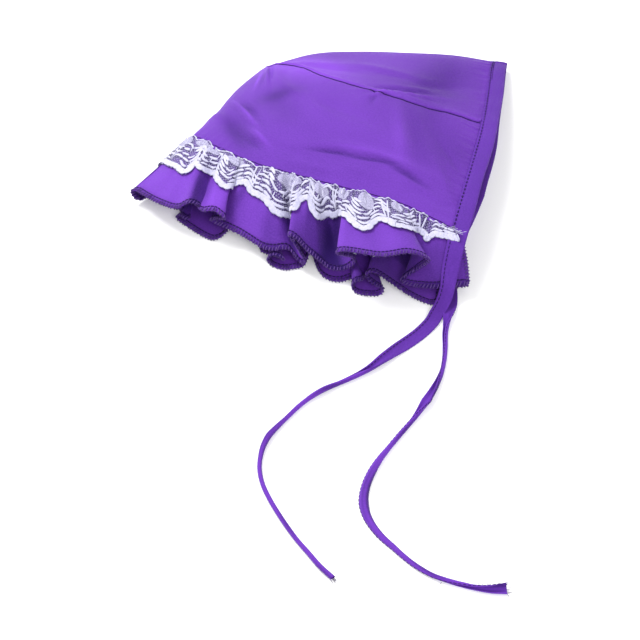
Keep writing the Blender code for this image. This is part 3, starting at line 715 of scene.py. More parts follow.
# The way the ruffle points, along the face edge from near end to far end.
RUFFLE_COURSE = (
    # share of the whole edge, degrees in plan
    (0.00, -100.0),
    (0.12, -103.0),
    (0.25, -111.0),
    (0.42, -122.0),
    (0.50, -128.0),
    (0.58, -122.0),
    (0.66, -116.0),
    (0.75, -111.0),
    (0.90, -102.0),
    (0.96, -92.0),
    (1.00, -84.0),
)
# Points along the hem and down the ruffle, from a little above the gathers.
RUFFLE_CELLS = (1000, 36)
RUFFLE_TOP = -0.05
# The power of the depth by which the cloth comes down.
FALL = 1.4
# Small gathers: wavelength, its swing, the swing's wavelength and start, height, what stays at
# the hem, and the power by which they die out.
GATHERS = (
    (0.95, 1.8, 5.3, 0.0, 0.42, 0.00, 5),
    (2.3, 1.5, 9.1, 1.0, 0.50, 0.00, 2),
    (4.9, 1.2, 17.0, 2.0, 0.45, 0.25, 1),
)
# The painted light on the pleats: the way that the brightest pleats face, how strongly the others
# are painted darker, and how far.
RUFFLE_BRIGHT_WAY = np.array([-0.70, 0.10, 0.70])
RUFFLE_TONE, RUFFLE_EVEN = 0.80, 0.66
RUFFLE_DARKEST, RUFFLE_LIGHTEST = -0.34, 0.35
# The cloth under the overlock loops is painted in shade: its share of the depth, and how much
# deeper its tone is.
HEM_DEEP, HEM_PAINTED_SHADE = 0.075, 0.40
# How suddenly a shade between pleats starts.
SHADE_START_STEEPNESS = 20.0
# Shade and light between pleats: share of the hem at the gathers, half width, drift of the share
# down to the hem, the depth share that it starts at, and its tone.
PLEAT_SHADE = (
    (0.191, 0.0130, 0.022, 0.24, -0.95),
    (0.030, 0.0160, 0.000, 0.25, -0.32),
    (0.359, 0.0060, 0.009, 0.34, -0.35),
    (0.446, 0.0060, -0.006, 0.40, -0.25),
    (0.052, 0.0140, 0.000, 0.30, -0.20),
    (0.325, 0.0080, 0.000, 0.55, -0.26),
    (0.405, 0.0120, 0.000, 0.50, 0.34),
    (0.088, 0.0120, 0.000, 0.45, 0.28),
)
# The powers of the sideways course, in general and at the near end, and the hem between them.
SLIDE, SLIDE_AT_END, SLIDE_RUN = 1.3, 0.42, 16.0


def whole_edge(rows):
    """An edge from its near end over the fold to its far end, as one line."""
    return np.vstack([edge_line(rows, 0), edge_line(rows, 1)[::-1][1:]])


camera_look = np.array([0.0, math.cos(CAMERA_ELEVATION), -math.sin(CAMERA_ELEVATION)])
camera_place = CAMERA_TARGET - camera_look * CAMERA_DISTANCE


def from_photo(x, y, z):
    """Table millimetres, to a tenth, of what the photograph shows at pixels x and y, height z."""
    right = np.array([1.0, 0.0, 0.0])
    up = np.cross(right, camera_look)
    focus = PHOTO_PIXELS * CAMERA_LENS / CAMERA_SENSOR
    way = camera_look + right * ((x - PHOTO_PIXELS / 2) / focus)[:, None]
    way = way + up * ((PHOTO_PIXELS / 2 - y) / focus)[:, None]
    reach = (z - camera_place[2]) / way[:, 2]
    return np.round(camera_place + way * reach[:, None], 1)


def hem_rows(rows):
    """Rows of x, y, z and place in table millimetres; places not seen follow the hem's length."""
    x, y, z, places = np.array(rows, float).T
    points = from_photo(x, y, z)
    run = length_along(points)
    seen = ~np.isnan(places)
    places = np.round(np.interp(run, run[seen], places[seen]), 1)
    return np.column_stack([points, places])


def hem_line(whole):
    """The hem from the near end round to the far end, and its share up to the tip."""
    near_half = smooth_line(hem_rows(NEAR_HEM)[::-1])
    far_half = smooth_line(hem_rows(FAR_HEM))
    far_half[:, 3] = whole - far_half[:, 3]
    near_length = length_along(near_half[:, :3])[-1]
    far_length = length_along(far_half[:, :3])[-1]
    return np.vstack([near_half, far_half[1:]]), near_length / (near_length + far_length)


face_line = whole_edge(FACE_EDGE)
whole_face = length_along(face_line)[-1]
hem, tip_share = hem_line(whole_face)
hem_run = length_along(hem[:, :3])
course = np.array(RUFFLE_COURSE)


def ruffle_surface(shares, down):
    """Points of the ruffle at shares of its hem and at shares of its depth below the gathers.

    The gathered edge follows the face edge, the hem follows its table, and the cloth between
    them runs out evenly, sideways and in height by powers of down. In each valley it sinks by
    depth times exp(-x^2) times 4 down (1 - down).
    """
    at = np.asarray(shares) * hem_run[-1]
    goal = points_at(at, hem_run, hem)
    start = at_distance(face_line, goal[:, 3])
    turn = np.radians(np.interp(goal[:, 3] / whole_face, course[:, 0], course[:, 1]))
    way = np.stack([np.cos(turn), np.sin(turn)], axis=-1)
    across = np.stack([-np.sin(turn), np.cos(turn)], axis=-1)
    step = goal[:, :2] - start[:, :2]
    out, aside = (step * way).sum(axis=-1)[:, None], (step * across).sum(axis=-1)[:, None]
    down = np.broadcast_to(down, (len(shares), np.shape(down)[-1]))
    slide_power = SLIDE_AT_END + (SLIDE - SLIDE_AT_END) * np.clip(at / SLIDE_RUN, 0.0, 1.0)
    slide = np.sign(down) * np.abs(down) ** slide_power[:, None]
    fall = np.sign(down) * np.abs(down) ** FALL
    reach = SEAM_GAP + (out - SEAM_GAP) * down
    points = np.empty(down.shape + (3,))
    points[..., :2] = start[:, None, :2] + way[:, None] * reach[..., None]
    points[..., :2] += across[:, None] * (aside * slide)[..., None]
    points[..., 2] = start[:, None, 2] + (goal[:, 2] - start[:, 2])[:, None] * fall
    middle, half_width, depth = np.array(VALLEYS).T
    sag = (np.exp(-((np.asarray(shares)[:, None] - middle) / half_width) ** 2) * depth).sum(axis=1)
    points[..., 2] -= sag[:, None] * 4.0 * np.clip(down * (1.0 - down), 0.0, 1.0)
    points[..., 2] = np.maximum(points[..., 2], LOBE_HEIGHT)
    return points


def gathers(shares, down):
    """Height of the small gathers off the ruffle: sines of uneven pitch that die out downwards."""
    along = np.asarray(shares)[:, None] * hem_run[-1]
    fade = np.clip(1.0 - down, 0.0, 1.0)
    total = 0.0
    for length, swing, swing_length, start, height, least, power in GATHERS:
        wave = np.sin(along / length + swing * np.sin(along / swing_length + start))
        total = total + wave * height * (least + fade ** power)
    return total


ruffle_columns, ruffle_rows = RUFFLE_CELLS
hem_shares = np.linspace(0.0, 1.0, ruffle_columns)
depth_shares = np.linspace(RUFFLE_TOP, 1.0, ruffle_rows)
plain_ruffle = ruffle_surface(hem_shares, depth_shares)
ruffle_out = outward_of(plain_ruffle)
ruffle_grid = plain_ruffle + ruffle_out * gathers(hem_shares, depth_shares)[..., None]
ruffle_grid[..., 2] = np.maximum(ruffle_grid[..., 2], LOBE_HEIGHT)
ruffle_out = outward_of(ruffle_grid)
face_ruffle = cloth_piece("face_ruffle_cloth", ruffle_grid, RUFFLE_WALL, turned=True)
# Pleats that turn from the light are painted in shade and those that face it painted lighter. On
# the far side the inner face is seen.
seen = np.where(hem_shares > tip_share, -1.0, 1.0)[:, None]
facing = (ruffle_out @ RUFFLE_BRIGHT_WAY) * seen
ruffle_painted_light = np.clip(RUFFLE_TONE * (facing - RUFFLE_EVEN), RUFFLE_DARKEST, RUFFLE_LIGHTEST)
ruffle_painted_light = ruffle_painted_light - np.exp(-((1.0 - depth_shares) / HEM_DEEP) ** 4) * HEM_PAINTED_SHADE
for share, half_width, drift, top, tone in PLEAT_SHADE:
    middle = share + drift * depth_shares[None, :]
    pleat = np.exp(-((hem_shares[:, None] - middle) / half_width) ** 2)
    started = 1.0 + np.exp((top - depth_shares[None, :]) * SHADE_START_STEEPNESS)
    ruffle_painted_light = ruffle_painted_light + tone * pleat / started
face_ruffle.data.materials.append(cloth)
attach(face_ruffle, "root")
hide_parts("face_ruffle")
hem_length = length_along(ruffle_grid[:, -1])[-1]

# Serged hem

# The ruffle's raw edge is bound by an overlock stitch: slanted loops of thread wrap the edge,
# and a straight line of needle stitches runs inside them.

THREAD = 0.66
LOOP_PITCH = 1.75
LOOP_DEPTH = 1.9
# Where the first loop is sewn, how far each may stray, and how many run up a cut end.
LOOP_START = 0.6
LOOP_STRAY = 0.30
END_LOOPS, END_LOOP_START = 12, 0.8
# The ruffle's rows that the loops at its two cut ends point to, for a way into the cloth.
END_ROWS = ((0, 8), (-1, -9))
# Chance ranges of a loop: how deep it reaches, how far it slants, and how high it stands.
LOOP_DEPTHS, LOOP_SLANTS, LOOP_HEIGHTS = (0.78, 1.12), (0.5, 1.5), (0.85, 1.15)
# A loop runs over the face of the cloth to its edge, round it, and back on the other face.
LOOP_INSIDE = (LOOP_DEPTH, 1.1, 0.35, -0.25, -0.25, 0.35, 1.1, LOOP_DEPTH)
LOOP_LIFT = (0.05, 0.34, 0.42, 0.16, -0.64, -0.94, -0.86, -0.55)
LOOP_ALONG = (0.0, 0.3, 0.65, 0.85, 0.95, 1.1, 1.5, 1.9)
OVERLOCK_DARK, OVERLOCK_LIGHT = (0.060, 0.014, 0.180), (0.150, 0.076, 0.315)
OVERLOCK_PATCH = 420.0
# The needle stitches: distance from the edge, pitch, length, height, and half width.
NEEDLE_INSIDE = 2.8
NEEDLE_START = 1.5
NEEDLE_PITCH = 2.1
NEEDLE_LENGTH = 1.6
NEEDLE_LIFT = 0.26
NEEDLE_HALF_WIDTH = 0.38
# The same stitches on the other face of the cloth.
NEEDLE_BACK = -0.6
STITCH_DIP = 0.12
STITCH_COLOUR = (0.018, 0.003, 0.070)


def on_ruffle(distance, inside, lift):
    """Points at distances along the hem, millimetres inside it and a lift off the cloth."""
    lengths = length_along(ruffle_grid[:, -1])
    column = np.interp(distance, lengths, np.arange(ruffle_columns))
    depth = np.linalg.norm(np.diff(ruffle_grid, axis=1), axis=-1).sum(axis=1)
    depth_here = np.interp(column, np.arange(ruffle_columns), depth)
    row = (ruffle_rows - 1) * (1.0 - inside / depth_here)
    points = sampled(ruffle_grid, column, row)
    outward = sampled(ruffle_out, column, row)
    return points + outward * np.asarray(lift)[..., None], outward


def sampled(grid, column, row):
    """Bilinear values of a grid at fractional columns and rows, carried on past its last row."""
    i = np.clip(np.floor(column).astype(int), 0, grid.shape[0] - 2)
    j = np.clip(np.floor(row).astype(int), 0, grid.shape[1] - 2)
    a, b = (column - i)[..., None], (row - j)[..., None]
    near = grid[i, j] * (1 - a) + grid[i + 1, j] * a
    far = grid[i, j + 1] * (1 - a) + grid[i + 1, j + 1] * a
    return near * (1 - b) + far * b


def threads(name, paths, ups, half_width, half_height, sides=6):
    """Bodies swept along many paths at once, with flattened round sections and closed ends.

    The sections stand across each path: cos times the half width sideways, sin times the half
    height along ups.
    """
    count, steps = paths.shape[:2]
    ahead = unit(np.gradient(paths, axis=1))
    side = unit(np.cross(ahead, ups))
    over = np.cross(side, ahead)
    turn = np.linspace(0.0, 2 * math.pi, sides, endpoint=False)
    wide = np.broadcast_to(half_width, (count, steps))[..., None, None]
    high = np.broadcast_to(half_height, (count, steps))[..., None, None]
    ring = side[:, :, None, :] * wide * np.cos(turn)[:, None]
    ring = ring + over[:, :, None, :] * high * np.sin(turn)[:, None]
    points = (paths[:, :, None, :] + ring).reshape(-1, 3)
    number = np.arange(count * steps * sides).reshape(count, steps, sides)
    following = np.roll(number, -1, axis=2)
    quads = np.stack([number[:, :-1], following[:, :-1], following[:, 1:], number[:, 1:]], axis=-1)
    faces = quads.reshape(-1, 4).tolist()
    faces += number[:, 0, ::-1].tolist() + number[:, -1].tolist()
    return make_mesh(name, points, faces)


# The darkest and the lightest tone of a thread, as shares of its colour, how much its plies and
# its patches tell in the tone, and what is taken off.
THREAD_DARK, THREAD_LIGHT = 0.55, 1.5
OF_PLY, OF_PATCHES, THREAD_MIDDLE = 0.5, 1.1, 0.30
PLY_SCALE = 1900.0


def thread_finish(name, colour, light=None, patch=60.0):
    """Spun thread: fine plies and broader patches as noise on the object's coordinates."""
    finish = Finish(name, Metallic=0.0, Sheen_Weight=0.0)
    finish.shader.inputs["Specular IOR Level"].default_value = 0.15
    space = finish.wire("ShaderNodeTexCoord", None, None, 3)
    ply = finish.noise(space, PLY_SCALE, 2.0, 0.6)
    patches = finish.noise(space, patch, 2.0, 0.5)
    dark = [c * THREAD_DARK for c in colour] + [1.0]
    light = [*(light or [c * THREAD_LIGHT for c in colour]), 1.0]
    tone = ply * OF_PLY + patches * OF_PATCHES - THREAD_MIDDLE
    finish.feed("Base Color", finish.mixed(tone, dark, light))
    finish.feed("Roughness", ply * 0.3 + 0.35)
    return finish.material


loops = np.arange(LOOP_START, hem_length - LOOP_START, LOOP_PITCH)[:, None]
uneven = np.random.default_rng(3)
loops = loops + uneven.uniform(-LOOP_STRAY, LOOP_STRAY, loops.shape)
loop_inside, loop_lift, loop_along = (np.array([row])
                                      for row in (LOOP_INSIDE, LOOP_LIFT, LOOP_ALONG))


def end_loops(edge, inner):
    """The same loops up the cut end of the ruffle, from its corner towards the gathers."""
    line = ruffle_grid[edge, ::-1]
    into = unit(ruffle_grid[inner, ::-1] - line)
    run = length_along(line)
    at = (np.arange(END_LOOPS) * LOOP_PITCH + END_LOOP_START)[:, None] + loop_along
    point, way, outward = (points_at(at, run, table)
                           for table in (line, into, ruffle_out[edge, ::-1]))
    return point + way * loop_inside[..., None] + outward * loop_lift[..., None], outward


loop_depths, loop_slants, loop_heights = (uneven.uniform(*limits, loops.shape) for limits in
                                          (LOOP_DEPTHS, LOOP_SLANTS, LOOP_HEIGHTS))
parts = [on_ruffle(loops + loop_along * loop_slants, loop_inside * loop_depths,
                   loop_lift * loop_heights),
         *(end_loops(edge, inner) for edge, inner in END_ROWS)]
paths, ups = (np.concatenate(arrays) for arrays in zip(*parts))
paths[..., 2] = np.maximum(paths[..., 2], THREAD / 2)
hem_loops = threads("hem_overlock_loops", paths, ups, THREAD / 2, THREAD / 2, 5)
hem_loops.data.materials.append(
    thread_finish("overlock_thread", OVERLOCK_DARK, OVERLOCK_LIGHT, OVERLOCK_PATCH))
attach(hem_loops, "root")


def stitch_row(distances, inside, length, lift, place):
    """Paths of stitches that arch by 1 - x^4 between their ends, which dip into the cloth."""
    t = np.linspace(-0.5, 0.5, 5)[None, :]
    along = distances[:, None] + t * length
    arch = lift * (1.0 - (2 * t) ** 4) - STITCH_DIP
    return place(along, inside + 0 * along, arch + 0 * along)


needle = np.arange(NEEDLE_START, hem_length - NEEDLE_START, NEEDLE_PITCH)
paths, ups = stitch_row(needle, NEEDLE_INSIDE, NEEDLE_LENGTH, NEEDLE_LIFT, on_ruffle)
back_run = needle[:, None] + np.linspace(-0.5, 0.5, 5)[None, :] * NEEDLE_LENGTH
back_paths, _ = on_ruffle(back_run, np.full(back_run.shape, NEEDLE_INSIDE),
                          np.full(back_run.shape, NEEDLE_BACK))
paths = np.concatenate([paths, back_paths])
ups = np.concatenate([ups, ups])
hem_needle = threads("hem_needle_stitches", paths, ups, NEEDLE_HALF_WIDTH, NEEDLE_LIFT, 5)
stitch_dark = thread_finish("stitch_thread", STITCH_COLOUR)
hem_needle.data.materials.append(stitch_dark)
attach(hem_needle, "root")

# Seam stitching and painted seam shade

# A fine dark strip lies in the seam of the back panel and another above the lace, where the ruffle
# and the lace are sewn to the band: the sewing thread, and painted shade of the seam and the band's
# edge.

SEAM_POINTS = 400
SEAM_THREAD = 0.22
SEAM_THREAD_AND_SHADE_COLOUR = (0.030, 0.005, 0.110)
# How far the thread stands off the cloth in the panel's seam and above the lace.
SEAM_LIFTS = (0.30, 0.12)
# How unevenly wide it is, and the turns of the two waves between its points.
SEAM_UNEVEN, SEAM_TURNS = 0.08, (1.3, 0.37)
seam_paths = np.stack([at_share(line, np.linspace(0.0, 1.0, SEAM_POINTS))
                       for line in (band_seam_line, band_face_line)])
seam_paths[..., 2] += np.array(SEAM_LIFTS)[:, None]
seam_ups = np.broadcast_to([0.0, 0.0, 1.0], seam_paths.shape)
number = np.arange(SEAM_POINTS)
quick_turn, slow_turn = SEAM_TURNS
seam_wide = SEAM_THREAD + SEAM_UNEVEN * np.sin(number * quick_turn) * np.sin(number * slow_turn)
seam_thread_and_shade = threads("seam_thread_and_shade_lines", seam_paths, seam_ups, seam_wide, SEAM_THREAD)
seam_thread_and_shade.data.materials.append(thread_finish("seam_thread_and_shade_finish", SEAM_THREAD_AND_SHADE_COLOUR))
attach(seam_thread_and_shade, "root")

# Lace trim

# A bought strip of white machine lace, gathered with the ruffle. Broken bars of flat cord hang
# in nested swags above a solid border, with open net between them and patches of close net.

LACE_DEPTH = 24.0
LACE_WALL = 0.14
LACE_COLUMNS, LACE_ROWS = 1300, 30
# How far the lace stands off the ruffle: everywhere, with its gathers, and as a puff.
LACE_LIFT = 0.5
LACE_GATHERED = 0.9
PUFF_LEAST, PUFF_MORE, PUFF_FROM = 0.5, 7.0, 0.35
# The puff's profile down the lace: (start + share) to a power, times (end - share).
PUFF_START, PUFF_POWER, PUFF_END = 0.12, 0.8, 1.25
# The frill along its upper edge: height, the share of the depth it reaches to, and its waves.
FRILL_HEIGHT, FRILL_REACH = 0.30, 0.08
FRILL_SPEED, FRILL_SWING, FRILL_SWING_SPEED = 390.0, 2.0, 71.0
# The shares of the ruffle's depth that it covers, and the shares of the hem.
LACE_TOP, LACE_REACH = -0.055, 0.66
LACE_FIRST, LACE_LAST = 0.003, 0.955
# Its shade on the ruffle: tone, how far inside its edge it starts, and how softly it ends.
LACE_SHADE = 0.42
SHADE_INSIDE = 0.05
SHADE_SOFTNESS = 0.015
# The cut end runs on past the ruffle over the corner of the neck binding: length, steps, way
# and the height of its hump.
LACE_OVERRUN = 0.6
OVERRUN_STEPS = 12
OVERRUN_WAY = np.array([0.98, -0.12, 0.0])
OVERRUN_HUMP = 1.3
# Lower edge of the lace, from the near end to where it runs on evenly round the far side.
LACE_EDGE = (
    # share of the hem, share of the ruffle's depth
    (0.000, 0.25), (0.012, 0.21), (0.020, 0.22), (0.030, 0.22), (0.036, 0.27), (0.040, 0.31),
    (0.0445, 0.25), (0.052, 0.22), (0.060, 0.24), (0.068, 0.30), (0.076, 0.36), (0.084, 0.44),
    (0.092, 0.49), (0.100, 0.51), (0.105, 0.53), (0.110, 0.47), (0.116, 0.41), (0.121, 0.41),
    (0.127, 0.49), (0.132, 0.59), (0.138, 0.63), (0.143, 0.60), (0.149, 0.53), (0.156, 0.44),
    (0.168, 0.39), (0.180, 0.40), (0.190, 0.37), (0.198, 0.34), (0.206, 0.30), (0.212, 0.32),
    (0.218, 0.41), (0.224, 0.48), (0.228, 0.48), (0.232, 0.45), (0.236, 0.34), (0.242, 0.31),
    (0.248, 0.35), (0.252, 0.43), (0.256, 0.58), (0.262, 0.60), (0.270, 0.56), (0.280, 0.50),
    (0.288, 0.46), (0.294, 0.46), (0.300, 0.52), (0.306, 0.58), (0.311, 0.60), (0.318, 0.56),
    (0.324, 0.49), (0.331, 0.44), (0.340, 0.43), (0.350, 0.43), (0.355, 0.39), (0.362, 0.33),
    (0.370, 0.37), (0.376, 0.41), (0.380, 0.40), (0.384, 0.36), (0.392, 0.43), (0.398, 0.51),
    (0.403, 0.57), (0.408, 0.56), (0.412, 0.50), (0.417, 0.41), (0.423, 0.34), (0.432, 0.36),
    (0.438, 0.40), (0.444, 0.41), (0.449, 0.38), (0.4525, 0.35), (0.456, 0.46), (0.460, 0.52),
    (0.466, 0.52), (0.474, 0.49), (0.484, 0.49), (0.493, 0.47), (0.504, 0.44),
)
# The even scallops: their pitch as a share of the hem, and the depth shares of their two ends.
EVEN_SCALLOP = (0.052, 0.40, 0.58)
# Where they start behind the last row, the step between their points, and how round they are.
SCALLOP_START, SCALLOP_STEP, SCALLOP_POWER = 0.012, 0.004, 0.7
# The small rounded teeth of the border: pitch, how far they hang, and how round they are.
PICOT, PICOT_HANG, PICOT_POWER = 3.0, 1.0, 0.6
# The gathered upper edge: how far it lies below the strip's, and its waves' heights, lengths
# and starts.
UPPER_BELOW = 0.95
UPPER_WAVES = (
    (0.55, 3.1, 0.0),
    (0.35, 1.17, 1.0),
)

lace_shares = np.linspace(LACE_FIRST, LACE_LAST, LACE_COLUMNS)
edge_rows = smooth_line(LACE_EDGE, 8)
scallop_pitch, scallop_high, scallop_low = EVEN_SCALLOP
past = np.arange(edge_rows[-1, 0] + SCALLOP_START, 1.0, SCALLOP_STEP)
wave = np.abs(np.sin((past - edge_rows[-1, 0]) / scallop_pitch * math.pi)) ** SCALLOP_POWER
evenly = np.stack([past, scallop_high + (scallop_low - scallop_high) * wave], axis=-1)
edge_rows = np.vstack([edge_rows, evenly])
edge_down = np.interp(lace_shares, edge_rows[:, 0], edge_rows[:, 1])
lace_steps = np.linspace(0.0, 1.0, LACE_ROWS)
lace_down = LACE_TOP + (LACE_REACH - LACE_TOP) * lace_steps

# The ruffle lies in the shade of the lace down to its lower edge.
edge_here = np.interp(hem_shares, edge_rows[:, 0], edge_rows[:, 1]) - SHADE_INSIDE
below = depth_shares[None, :] - edge_here[:, None]
lace_shade = LACE_SHADE / (1.0 + np.exp(below / SHADE_SOFTNESS))
set_painted_light(face_ruffle, ruffle_painted_light - lace_shade * (hem_shares < LACE_LAST)[:, None])

lace_base = ruffle_surface(lace_shares, lace_down)
puff = (PUFF_START + lace_steps) ** PUFF_POWER * (PUFF_END - lace_steps)
stand_off = LACE_LIFT + gathers(lace_shares, lace_down) * LACE_GATHERED
puffed = PUFF_LEAST + PUFF_MORE * np.clip(edge_down - PUFF_FROM, 0.0, 1.0)
stand_off = stand_off + puff[None, :] * puffed[:, None]
frill_swing = FRILL_SWING * np.sin(lace_shares * FRILL_SWING_SPEED)
frill = np.sin(lace_shares * FRILL_SPEED + frill_swing) * FRILL_HEIGHT
stand_off = stand_off + np.exp(-(lace_steps / FRILL_REACH) ** 2)[None, :] * frill[:, None]
lace_grid = lace_base + outward_of(lace_base) * stand_off[..., None]
onward = np.linspace(1.0, 0.0, OVERRUN_STEPS, endpoint=False)[:, None, None]
overrun = lace_grid[0] + OVERRUN_WAY * LACE_OVERRUN * onward
overrun[..., 2] += OVERRUN_HUMP * np.sin(onward[..., 0] * 2.2)
lace_grid = np.concatenate([overrun, lace_grid])
edge_down = np.concatenate([np.full(OVERRUN_STEPS, edge_down[0]), edge_down])
lace_grid[..., 2] = np.maximum(lace_grid[..., 2], LOBE_HEIGHT + 0.5)
lace_out = outward_of(lace_grid)
lace_run = length_along(lace_grid[:, LACE_ROWS // 2])
lace_length = lace_run[-1]
lace_low_line = LACE_DEPTH * (1.0 - (edge_down - LACE_TOP) / (LACE_REACH - LACE_TOP))


def lace_low(along):
    """Height of the lower edge above the strip's lowest line, before the small picots."""
    return np.interp(along, lace_run, lace_low_line)


def lace_high(along):
    """Height of the gathered upper edge, a little uneven."""
    height = LACE_DEPTH - UPPER_BELOW
    for size, length, start in UPPER_WAVES:
        height = height + size * np.sin(np.asarray(along) / length + start)
    return height


def picots(along):
    """How far the small rounded teeth of the border hang below its line."""
    return PICOT_HANG * np.abs(np.sin(np.asarray(along) * math.pi / PICOT)) ** PICOT_POWER


def on_lace(along, up, lift):
    """Points of the lace at a length along it, millimetres above its lowest line, and a lift."""
    column = np.interp(along, lace_run, np.arange(len(lace_run)))
    row = (LACE_ROWS - 1) * (1.0 - up / LACE_DEPTH)
    outward = sampled(lace_out, column, row)
    return sampled(lace_grid, column, row) + outward * np.asarray(lift)[..., None], outward


low_edge = (lace_low(lace_run) - picots(lace_run))[:, None]
high_edge = lace_high(lace_run)[:, None]
net_up = low_edge + (high_edge - low_edge) * np.linspace(1.0, 0.0, LACE_ROWS)[None, :]
net_along = np.broadcast_to(lace_run[:, None], net_up.shape)
net_grid, _ = on_lace(net_along, net_up, np.zeros(net_up.shape))
lace_net = cloth_piece("lace_net", net_grid, LACE_WALL, turned=True,
                       uv=np.stack([net_along, net_up], axis=-1))


def net_finish(name, pitch, closed, dark, light):
    """Net: three sets of threads cross at 60 degrees; a higher closed value leaves less open."""
    finish = Finish(name, Metallic=0.0, Roughness=0.8, Sheen_Weight=0.2)
    uv = finish.wire("ShaderNodeUVMap", {"uv_map": "cloth"})
    parts = finish.node("ShaderNodeSeparateXYZ", None, {0: uv})
    u, v = Wire(finish, parts.outputs[0]), Wire(finish, parts.outputs[1])
    lines = None
    for degrees in (0.0, 60.0, 120.0):
        turn = math.radians(degrees)
        wave = ((u * math.cos(turn) + v * math.sin(turn)) * (math.pi / pitch)).sine().size()
        line = 1.0 - wave
        lines = line if lines is None else lines.most(line)
    finish.feed("Alpha", lines.over(1.0 - closed))
    tone = finish.noise(uv, 0.8, 2.0)
    finish.feed("Base Color", finish.mixed(tone, dark, light))
    return finish.material


# Pitch of the threads, how closed the net is, and its darkest and its lightest tone.
OPEN_NET = (1.3, 0.12, (0.22, 0.20, 0.38, 1.0), (0.42, 0.40, 0.58, 1.0))
CLOSE_NET = (0.8, 0.50, (0.30, 0.28, 0.46, 1.0), (0.54, 0.52, 0.70, 1.0))
lace_net.data.materials.append(net_finish("open_net", *OPEN_NET))
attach(lace_net, "root")
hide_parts("lace_trim")

# Patches of close net: share of the hem, half width and half height in mm.
PATCHES = (
    (0.098, 3.5, 3.2), (0.133, 4.9, 4.8), (0.168, 4.0, 3.0), (0.220, 7.4, 3.0),
    (0.288, 12.6, 3.6), (0.395, 10.0, 2.6), (0.449, 11.0, 1.9), (0.488, 6.0, 3.0),
    (0.609, 5.0, 4.5), (0.707, 5.0, 4.5), (0.804, 5.0, 4.5), (0.902, 5.0, 4.5),
)
PATCH_RINGS, PATCH_SIDES = 6, 28
PATCH_BELOW_TOP = 1.2
PATCH_LIFT = 0.08
patch_share, patch_wide, patch_high = np.array(PATCHES).T
middle_run = np.interp(patch_share, lace_shares, lace_run[OVERRUN_STEPS:])
ring_size = np.linspace(0.05, 1.0, PATCH_RINGS)[None, :, None]
ring_turn = np.linspace(0.0, 2 * math.pi, PATCH_SIDES)[None, None, :]
patch_along = patch_wide[:, None, None] * ring_size * np.cos(ring_turn)
patch_along = middle_run[:, None, None] + patch_along
patch_up = patch_high[:, None, None] * (1.0 + ring_size * np.sin(ring_turn))
patch_up = LACE_DEPTH - PATCH_BELOW_TOP - patch_up
patch_points, _ = on_lace(patch_along, patch_up, np.full(patch_along.shape, PATCH_LIFT))
patch_uv = np.stack([patch_along, patch_up], axis=-1).reshape(-1, 2)
one_patch = grid_faces(PATCH_RINGS, PATCH_SIDES, True)
patch_faces = np.arange(len(PATCHES))[:, None, None] * PATCH_RINGS * PATCH_SIDES + one_patch
lace_patches = make_mesh("lace_close_net", patch_points.reshape(-1, 3),
                         patch_faces.reshape(-1, 4).tolist(), patch_uv)
lace_patches.data.materials.append(net_finish("close_net", *CLOSE_NET))
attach(lace_patches, "root")

# The bars of cord: rows above the border, each cut into short lengths that lean a little.
BAR_ROWS, BAR_POINTS = 8, 9
BAR_PITCH = 2.30
BAR_FIRST = 3.5
BAR_LIFT = 0.14
BAR_HALF_HEIGHT = 0.12
BARS_KEPT = 0.90
# Chance ranges of a bar: the start of its row, its length, the gap after it and its half width.
BAR_START, BAR_LENGTH, BAR_GAP, BAR_HALF = (0.2, 2.0), (4.0, 9.0), (0.10, 0.45), (0.60, 0.95)
# A bar leans by up to this, squared, at its ends, and waves: height, length and chance start.
BAR_LEAN = 0.6
BAR_WAVE, BAR_WAVE_LENGTH, BAR_WAVE_START = 0.28, 1.6, (0.0, 6.0)
# What bars keep clear of: the strip's end, its upper edge, and the patches, by a share of their
# half width and by a drop below the upper edge.
BAR_END, BAR_BELOW_TOP = 6.0, 0.8
BAR_BESIDE_PATCH, BAR_BELOW_PATCH = 0.95, 1.4
# The share of its half width that a bar keeps at its ends, and how soon it is full.
BAR_TIP, BAR_TAPER = 0.35, 2.0
# The short slanted ties between the rows: pitch, half width, first and last place, how far they
# lean and rise, and how far they stay below the top.
SLANT_PITCH, SLANT_HALF = 5.3, 0.34
SLANT_FIRST, SLANT_LAST = 1.5, 2.0
SLANT_LEAN, SLANT_RISE, SLANT_BELOW_TOP = 0.6, (-0.1, 1.1), 1.0
# The leaves: how far they lean to both sides, their half width, the shares of the height between
# which they rise, their curve, how far they stay off both edges, and how far apart they stand.
LEAF_LEANS, LEAF_HALF = (-2.04, 2.04), 0.52
LEAF_RISE, LEAF_CURVE, LEAF_OFF_EDGE, LEAVES_APART = (0.12, 0.90), 0.7, 1.0, 4.0
# How many columns to both sides the lace's edge is compared with, to find where it is short.
VALLEY_REACH = 30
chance = np.random.default_rng(7)
patterns, widths = [], []
for number in range(BAR_ROWS):
    along = chance.uniform(*BAR_START)
    while along < lace_length - BAR_END:
        length = chance.uniform(*BAR_LENGTH)
        x = np.linspace(along, along + length, BAR_POINTS)
        lean = chance.uniform(-BAR_LEAN, BAR_LEAN) * np.linspace(-BAR_LEAN, BAR_LEAN, BAR_POINTS)
        up = lace_low(x) + BAR_FIRST + BAR_PITCH * number + lean
        up += BAR_WAVE * np.sin(x / BAR_WAVE_LENGTH + chance.uniform(*BAR_WAVE_START))
        top = lace_high(x) - BAR_BELOW_TOP
        in_patch = np.abs(x.mean() - middle_run) < patch_wide * BAR_BESIDE_PATCH
        in_patch &= up.mean() > LACE_DEPTH - BAR_BELOW_PATCH - 2 * patch_high
        if (up < top).all() and not in_patch.any() and chance.uniform() < BARS_KEPT:
            patterns.append(np.stack([x, up], axis=-1))
            widths.append(chance.uniform(*BAR_HALF))
        along += length + chance.uniform(*BAR_GAP)
